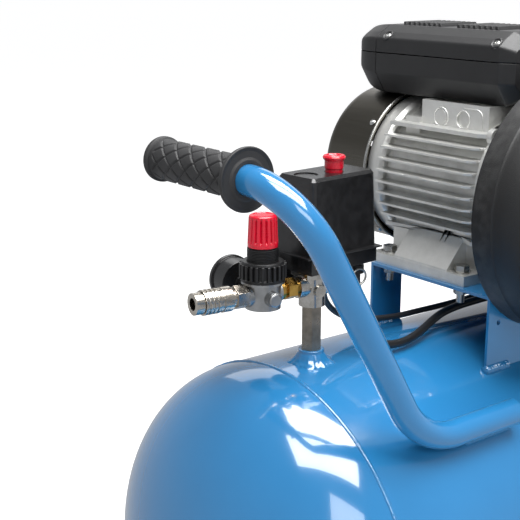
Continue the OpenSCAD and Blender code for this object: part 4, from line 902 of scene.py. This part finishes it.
# ---------------------------------------------------------------- drain
# A small brass valve under the tank lets the condensate out when its knob is unscrewed.

from_cad("drain_valve_body", "drain_valve", BRASS, "brass", 0.0005)
from_cad("drain_knob_skin", "drain_knob", BLACK_PLASTIC, "black_plastic", 0.0008)

# ---------------------------------------------------------------- motor
# A die-cast aluminium frame with cooling fins, its feet and the wiring pad in one piece. A
# shield closes the belt end, and a spun steel cowl covers the fan at the other.

ALLOY = finish("cast_aluminium", tone(216, 216, 213), tone(202, 202, 199), 0.42, 0.12, patch=45.0,
               grain=1500.0, bump=0.22, depth=0.0003, metallic=0.8)
COWL = finish("brushed_steel", tone(112, 109, 102), tone(88, 85, 78), 0.27, 0.16, patch=16.0,
              grain=420.0, bump=0.10, stretch=(1, 0.06, 1), metallic=1.0)
COPPER = finish("copper", tone(206, 132, 92), tone(168, 96, 66), 0.26, 0.14, patch=50.0, grain=800.0,
                bump=0.06, metallic=1.0)
IRON = finish("painted_cast_iron", tone(54, 56, 59), tone(47, 49, 52), 0.44, 0.08, patch=14.0,
              grain=800.0, bump=0.35, depth=0.0004, metallic=0.2)

cowl_low, cowl_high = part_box("fan_cover")
motor = Vector(((cowl_low.x + cowl_high.x) / 2, 0, (cowl_low.z + cowl_high.z) / 2))
casting = from_cad("motor_frame", "motor_housing", ALLOY, "cast_alloy", 0.0007)
foot_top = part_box("machine_bracket")[1].z + 0.0105
for v in casting.data.vertices:
    on_rib = abs(v.co.x - motor.x) > 0.056 and -0.0030 < v.co.y < 0.0070
    if on_rib and foot_top + 0.0003 < v.co.z < motor.z - 0.0400:
        v.co.x = motor.x + math.copysign(0.050, v.co.x - motor.x)
from_cad("belt_end_shield", "end_shield", ALLOY, "cast_alloy", 0.0009)
from_cad("fan_cowl", "fan_cover", COWL, "cowl_steel", 0)
from_cad("rotor_core", "rotor", STEEL, "bright_steel", 0.0006)
from_cad("fan_wheel", "cooling_fan", BLACK_PLASTIC, "black_plastic", 0.0005)
from_cad("stator_pack", "stator", COPPER, "copper", 0.0008)
from_cad("pulley_wheel", "motor_pulley", IRON, "iron", 0.0006)


def details(name, parts, material, slot, body="machine", sharp=50):
    """Joins small loose parts of one finish into one piece."""
    work = bmesh.new()
    for part in parts:
        work.from_mesh(part.data)
        bpy.data.objects.remove(part)
    mesh = bpy.data.meshes.new(name)
    work.to_mesh(mesh)
    work.free()
    return belongs(finished(name, mesh, material, sharp, weld=1e-8, outward=False), slot, body=body)


def moved(part, place):
    """Carries a part's mesh to its place and leaves its object at the origin."""
    part.data.transform(place)
    return part


def lofted(name, rings, material, sharp=32):
    """Skin through closed rings of as many points each, with a flat face at both ends."""
    points, faces, n = [p for ring in rings for p in ring], [], len(rings[0])
    for i in range(len(rings) - 1):
        faces += [(i * n + k, i * n + (k + 1) % n, (i + 1) * n + (k + 1) % n, (i + 1) * n + k)
                  for k in range(n)]
    faces += [tuple(range(n)), tuple((len(rings) - 1) * n + k for k in range(n))]
    return shape(name, points, faces, material, sharp)


pad_left, pad_top = motor.x - 0.050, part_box("capacitor_base")[0].z
pad_face = Matrix.Translation((pad_left, 0, pad_top))
border = [Vector((0, -0.030 * t, -0.0040)) for t in (0.2, 0.6)]
border += [Vector((0, -0.0225 - 0.0075 * math.sin(a), -0.0115 + 0.0075 * math.cos(a)))
           for a in (math.pi / 2 * k / 8 for k in range(9))]
border += [Vector((0, -0.0300, -0.0200)), Vector((0, -0.0300, -0.0285))]
casting_marks = [moved(tube("border", border, 0.0008, ALLOY, sides=10), pad_face)]
for y, radius, cap in ((0.024, 0.0092, 0.0074), (-0.005, 0.0086, 0.0)):
    casting_marks.append(turned("eye", [(radius + 0.0009 * math.cos(a), 0.0008 * math.sin(a))
                                        for a in (2 * math.pi * k / 10 for k in range(10))],
                                along_x(pad_left, y, pad_top - 0.015), ALLOY, sides=48, closed=True))
    if cap:
        face = rounded([(0, -0.0004), (cap, -0.0004), (cap, 0.0030), (0, 0.0030)], 0.0006)
        casting_marks.append(turned("disc", face, along_x(pad_left, y, pad_top - 0.015), ALLOY, sides=48))
fin_five = motor.z + 0.007
for y in (0.050, 0.003):
    plate = block("plate", (-0.0850, -0.0110, -0.0027), (-0.0790, 0.0110, 0.0027), 0.0012, ALLOY)
    for v in plate.data.vertices:
        if abs(v.co.y) > 0.0085:
            v.co.z *= 0.35
    casting_marks.append(moved(plate, Matrix.Translation((motor.x, y, fin_five))))
for side in (-1, 1):
    slope = rounded([(motor.x + side * a, b) for a, b in (
        (0.0585, motor.z - 0.0500), (0.0815, foot_top + 0.0020), (0.0815, foot_top - 0.0010),
        (0.0500, foot_top - 0.0010), (0.0500, motor.z - 0.0500))], 0.0016, closed=True)
    ends = [[Vector((p.x, y, p.y)) for p in slope] for y in (-0.022, 0.051)]
    casting_marks.append(lofted("web", ends, ALLOY, 40))
details("motor_casting_marks", casting_marks, ALLOY, "cast_alloy")

bell = rounded([(0.050, 0.0780), (0.0745, 0.0780), (0.0775, 0.0830), (0.0775, 0.0990), (0.0700, 0.1030),
                (0.050, 0.1030)], 0.0015, closed=True)
belongs(turned("fan_end_bell", bell, along_y(motor.x, 0, motor.z), ALLOY, sides=128,
               closed=True), "cast_alloy", body="machine")
cowl_rim = turned("cowl_rim", [(0.0823 + 0.0014 * math.cos(a), 0.0014 + 0.0014 * math.sin(a))
                               for a in (2 * math.pi * k / 12 for k in range(12))],
                  along_y(motor.x, cowl_low.y, motor.z), STEEL, sides=160, closed=True)
belongs(cowl_rim, "bright_steel", body="machine")
screw = turned("cowl_screw", rounded([(0, -0.001), (0.0036, -0.001), (0.0036, 0.0008), (0.0020, 0.0024),
                                      (0.0010, 0.0026), (0.0010, 0.0014), (0, 0.0014)], 0.0004),
               Matrix.Identity(4), STEEL, sides=24)
moved(screw, Matrix.Translation((0.0820, 0, 0.0090)) @ Matrix.Rotation(math.pi / 2, 4, "Y"))
belongs(repeat("cowl_screws", screw, STEEL, 4, along_y(motor.x, cowl_low.y, motor.z)
               @ Matrix.Rotation(math.radians(38), 4, "Z"), turn=math.pi / 2), "bright_steel", body="machine")

# ---------------------------------------------------------------- capacitor box
# Two moulded halves with a fine grain lie along the motor: a base on the wiring pad and a
# cover with louvres, meeting in a seam. The far end is domed over the cowl.

# Its lighter wear colour marks convex edges as rubbed wear and as a painted edge highlight.
GRAINED = finish("grained_black_plastic", tone(24, 24, 25), tone(20, 20, 21), 0.46, 0.05, patch=20.0,
                 grain=1300.0, bump=0.30, depth=0.0003, wear_and_highlight=(tone(50, 50, 51), 0.25))
box_low, seam_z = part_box("capacitor_base")[0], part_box("capacitor_base")[1].z
box_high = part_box("capacitor_cover")[1]
box_near, prism_near, prism_far, box_far = box_low.y, box_low.y + 0.0148, 0.120, box_high.y
box_half = (box_high.x - box_low.x) / 2
seam_gap, corner_r, dome_r = 0.0004, 0.0045, 0.022


def box_section(inset, cover, soft):
    """Outline of the cover or the base with soft corners, drawn in by an inset."""
    h, low, top = box_half - inset, box_low.z + inset, box_high.z - inset
    if cover:
        rim = seam_z + seam_gap
        share = (top - seam_z) / (box_high.z - seam_z)
        side, slope = seam_z + 0.015 * share, top - 0.007 * share
        outline = [(-h, rim, 0.0008), (h, rim, 0.0008), (h, side), (h - 0.008, slope), (h - 0.020, top),
                   (0.020 - h, top), (0.008 - h, slope), (-h, side)]
    else:
        rim = seam_z - seam_gap
        outline = [(0.014 - h, low), (h - 0.014, low), (h, low + 0.022 - inset), (h, rim, 0.0008),
                   (-h, rim, 0.0008), (-h, low + 0.022 - inset)]
    return rounded(outline, corner_r + dome_r * soft, steps=5, closed=True)


stations = [(box_near, 0.0095), (box_near + 0.0006, 0.0083), (prism_near - 0.0010, 0.0006),
            (prism_near + 0.0008, 0.0)]
stations += [(prism_near + (prism_far - prism_near) * k / 12, 0.0) for k in range(1, 12)]
stations += [(prism_far - 0.0008, 0.0), (prism_far - 0.0004, 0.0009), (prism_far + 0.0006, 0.0009),
             (prism_far + 0.0010, 0.0002)]
dome = box_far - prism_far - 0.001
box_rings = [(y, inset, 1.0) for y, inset in stations]
for k in range(1, 19):
    a = math.pi / 2 * k / 18
    box_rings.append((prism_far + 0.001 + dome * math.sin(a), 0.0002, max(0.12, math.cos(a) ** 0.62)))


for part, cover in (("base", False), ("cover", True)):
    skin = [[Vector((motor.x + p.x * draw, y, seam_z + (p.y - seam_z) * draw))
             for p in box_section(inset, cover, 1 - draw)] for y, inset, draw in box_rings]
    belongs(lofted("capacitor_box_" + part, skin, GRAINED), "gloss_black", "capacitor_" + part)
from_cad("capacitor_cans", "capacitors", DIAL, "dial_white", 0.001)
louvre = block("louvre", (-0.0270, -0.0024, -0.0010), (0.0270, 0.0024, 0.0034), 0.0010, GRAINED, taper=0.0008)
for v in louvre.data.vertices:
    if v.co.z > 0.0005:
        v.co.y += 0.0012
for label, y in (("near", -0.0215), ("far", 0.0525)):
    unit = bpy.data.objects.new("louvre_unit", louvre.data.copy())
    bpy.context.scene.collection.objects.link(unit)
    row = repeat("box_louvres_" + label, unit, GRAINED, 8, Matrix.Translation((motor.x, y, box_high.z)),
                 step=(0, 0.0070, 0))
    belongs(row, "gloss_black", "capacitor_cover")
bpy.data.objects.remove(louvre)
well_side = rounded([(0.0036, -0.003), (0.0062, -0.003), (0.0062, 0.0007), (0.0050, 0.0012),
                     (0.0036, 0.0004)], 0.0003, closed=True)
screw_side = rounded([(0, -0.002), (0.0035, -0.002), (0.0035, 0.0000), (0.0022, 0.0010), (0.0008, 0.0011),
                      (0.0007, 0.0004), (0, 0.0004)], 0.0003)
box_screws, wells = [], []
for y in (prism_near + 0.006, prism_far - 0.014):
    for side in (-1, 1):
        tilt = Matrix.Translation((motor.x + side * (box_half - 0.0035), y, box_high.z - 0.0105)) \
            @ Matrix.Rotation(side * math.radians(46), 4, "Y")
        wells.append(turned("well", well_side, tilt, GRAINED, sides=32, closed=True))
        box_screws.append(turned("screw", screw_side, tilt, STEEL, sides=24))
details("box_screw_wells", wells, GRAINED, "gloss_black")
details("box_screws", box_screws, STEEL, "bright_steel")

# ---------------------------------------------------------------- pump A cast-iron crankcase
# and two finned cylinders under an alloy head.

from_cad("crankcase_casting", "crankcase", IRON, "iron", 0.0012)
from_cad("cylinder_casting", "cylinder_block", IRON, "iron", 0.0004)
from_cad("pump_head_casting", "pump_head", ALLOY, "cast_alloy", 0.0009)
from_cad("piston_pair", "pistons", ALLOY, "cast_alloy", 0.0006)
from_cad("crankshaft_forging", "crankshaft", STEEL, "bright_steel", 0.0004)
from_cad("flywheel_casting", "flywheel", IRON, "iron", 0.0009)
from_cad("filter_housings", "air_filters", BLACK_PLASTIC, "black_plastic", 0.0012)
from_cad("delivery_pipe_bend", "delivery_pipe", COPPER, "copper", 0)
head_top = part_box("pump_head")[1].z
block_low, block_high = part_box("cylinder_block")
pump_x = (block_low.x + block_high.x) / 2


def hex_bolt(name, across, height, material):
    """Hexagon bolt head with a chamfered crown and a washer face, standing on local Z."""
    washer_r, corner_r = across * 0.66, across * 0.577
    side = rounded([(0, 0), (washer_r, 0), (washer_r, 0.0012), (corner_r, 0.0013),
                    (corner_r, height * 0.86), (across * 0.46, height), (0, height)], 0.0003)

    def flats(angle, radius, level):
        if level < 0.0012 or radius < across * 0.4:
            return radius
        sixth = math.pi / 3
        return min(radius, across / 2 / math.cos((angle + sixth / 2) % sixth - sixth / 2))

    return turned(name, side, Matrix.Identity(4), material, sides=48, wave=flats)


for x in (-0.038, 0.038):
    bolt = hex_bolt("head_bolt", 0.0100, 0.0060, STEEL)
    row = repeat("head_bolts_%s" % ("inner" if x < 0 else "outer"), bolt, STEEL, 3,
                 Matrix.Translation((pump_x + x, -0.070, head_top - 0.0165)), step=(0, 0.070, 0))
    belongs(row, "bright_steel", body="machine")
filter_low, filter_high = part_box("air_filters")
for label, y in (("near", -0.040), ("far", 0.040)):
    slat = block("slat", (0.0285, -0.0016, 0.004), (0.0318, 0.0016, 0.022), 0.0006, BLACK_PLASTIC)
    place = along_x(filter_high.x - 0.026, y, (filter_low.z + filter_high.z) / 2)
    belongs(repeat("filter_slats_" + label, slat, BLACK_PLASTIC, 26, place, turn=2 * math.pi / 26),
            "black_plastic", body="machine")

# ---------------------------------------------------------------- bolts and nuts
# Zinc-plated hexagon bolts hold motor, pump and feet; small screws hold the guard's halves.

from_cad("bolts_and_nuts", "fasteners", STEEL, "bright_steel", 0.0005)

# ---------------------------------------------------------------- belt and guard
# A vee belt joins motor and pump. Its guard is a flat rear plate and a deep moulded cover
# with a coarse grain, whose straight side turns over a crease into a rounded front.

# Its lighter wear colour marks convex edges as rubbed wear and as a painted edge highlight.
COARSE = finish("coarse_black_plastic", tone(22, 22, 22), tone(18, 18, 18), 0.50, 0.05, patch=12.0,
                grain=950.0, bump=0.55, depth=0.0005, wear_and_highlight=(tone(64, 64, 64), 0.3))
BELT = finish("belt_fabric", tone(30, 30, 31), tone(40, 39, 38), 0.72, 0.10, patch=30.0, grain=1200.0,
              bump=0.2)
from_cad("vee_belt", "drive_belt", BELT, "belt_rubber", 0.0006)
from_cad("guard_rear_plate", "guard_back", BLACK_PLASTIC, "black_plastic", 0.0005)
guard_low, guard_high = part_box("guard_front")
big_r = (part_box("guard_back")[1].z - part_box("guard_back")[0].z) / 2
crank = Vector((guard_high.x - big_r, 0, guard_high.z - big_r))
guard_drop, guard_wall = 0.010, 0.003
small_r = motor.x - guard_low.x
small = Vector((motor.x, 0, motor.z - guard_drop))


def guard_ring(inset, y):
    """Points of the guard's outline at a depth: two arcs and the straights between them."""
    r1, r2 = small_r - inset, big_r - inset
    span = crank - small
    lean = math.atan2(span.z, span.x)
    opening = math.acos((r1 - r2) / span.length)
    ring = []
    for centre, radius, start, end, steps in ((small, r1, lean + opening, lean + 2 * math.pi - opening, 96),
                                              (crank, r2, lean - opening, lean + opening, 120)):
        ring += [Vector((centre.x + radius * math.cos(a), y, centre.z + radius * math.sin(a)))
                 for a in (start + (end - start) * k / steps for k in range(steps + 1))]
        if centre is small:
            first = ring[-1]
            last = Vector((crank.x + r2 * math.cos(lean - opening), y,
                           crank.z + r2 * math.sin(lean - opening)))
            ring += [first.lerp(last, k / 24) for k in range(1, 24)]
    first, last = ring[-1], ring[0]
    ring += [first.lerp(last, k / 24) for k in range(1, 24)]
    return ring


rear_y, front_y, side_wall, rounding = guard_high.y, guard_low.y, 0.020, 0.024
depth = rear_y - front_y
levels = [(0.0, 0.0), (0.0, side_wall - 0.0012), (0.0003, side_wall - 0.0003), (0.0012, side_wall + 0.0010)]
levels += [(0.0012 + (rounding - 0.0012) * (1 - math.cos(a)),
            side_wall + 0.0010 + (depth - side_wall - 0.0010) * math.sin(a))
           for a in (math.pi / 2 * k / 16 for k in range(1, 17))]
levels += [(0.030, depth - 0.0001), (0.034, depth - 0.0012), (0.038, depth - 0.0012), (0.042, depth),
           (0.070, depth), (0.095, depth), (0.118, depth)]
inside = [(i + guard_wall, d - guard_wall if d > side_wall else d) for i, d in levels[:-5]]
rings = [guard_ring(i, rear_y - d) for i, d in levels]
back_rings = [guard_ring(max(guard_wall, i), rear_y - max(0.0, d)) for i, d in inside]
n = len(rings[0])
points = [p for ring in rings for p in ring]
faces = []
for i in range(len(rings) - 1):
    faces += [(i * n + k, i * n + (k + 1) % n, (i + 1) * n + (k + 1) % n, (i + 1) * n + k) for k in range(n)]
faces.append(tuple((len(rings) - 1) * n + k for k in range(n)))
base = len(points)
points += [p for ring in back_rings for p in ring]
for i in range(len(back_rings) - 1):
    faces += [(base + i * n + k, base + (i + 1) * n + k, base + (i + 1) * n + (k + 1) % n,
               base + i * n + (k + 1) % n) for k in range(n)]
faces.append(tuple(base + (len(back_rings) - 1) * n + k for k in range(n)))
faces += [(k, base + k, base + (k + 1) % n, (k + 1) % n) for k in range(n)]
belongs(shape("guard_cover", points, faces, COARSE, 40), "black_plastic", "guard_front")
vent = block("vent", (0.050, -0.0024, -0.0010), (0.118, 0.0024, 0.0016), 0.0011, COARSE)
vents = repeat("guard_vents", vent, COARSE, 20, along_y(crank.x, front_y, crank.z)
               @ Matrix.Rotation(math.pi, 4, "X"), turn=2 * math.pi / 20)
belongs(vents, "black_plastic", "guard_front")
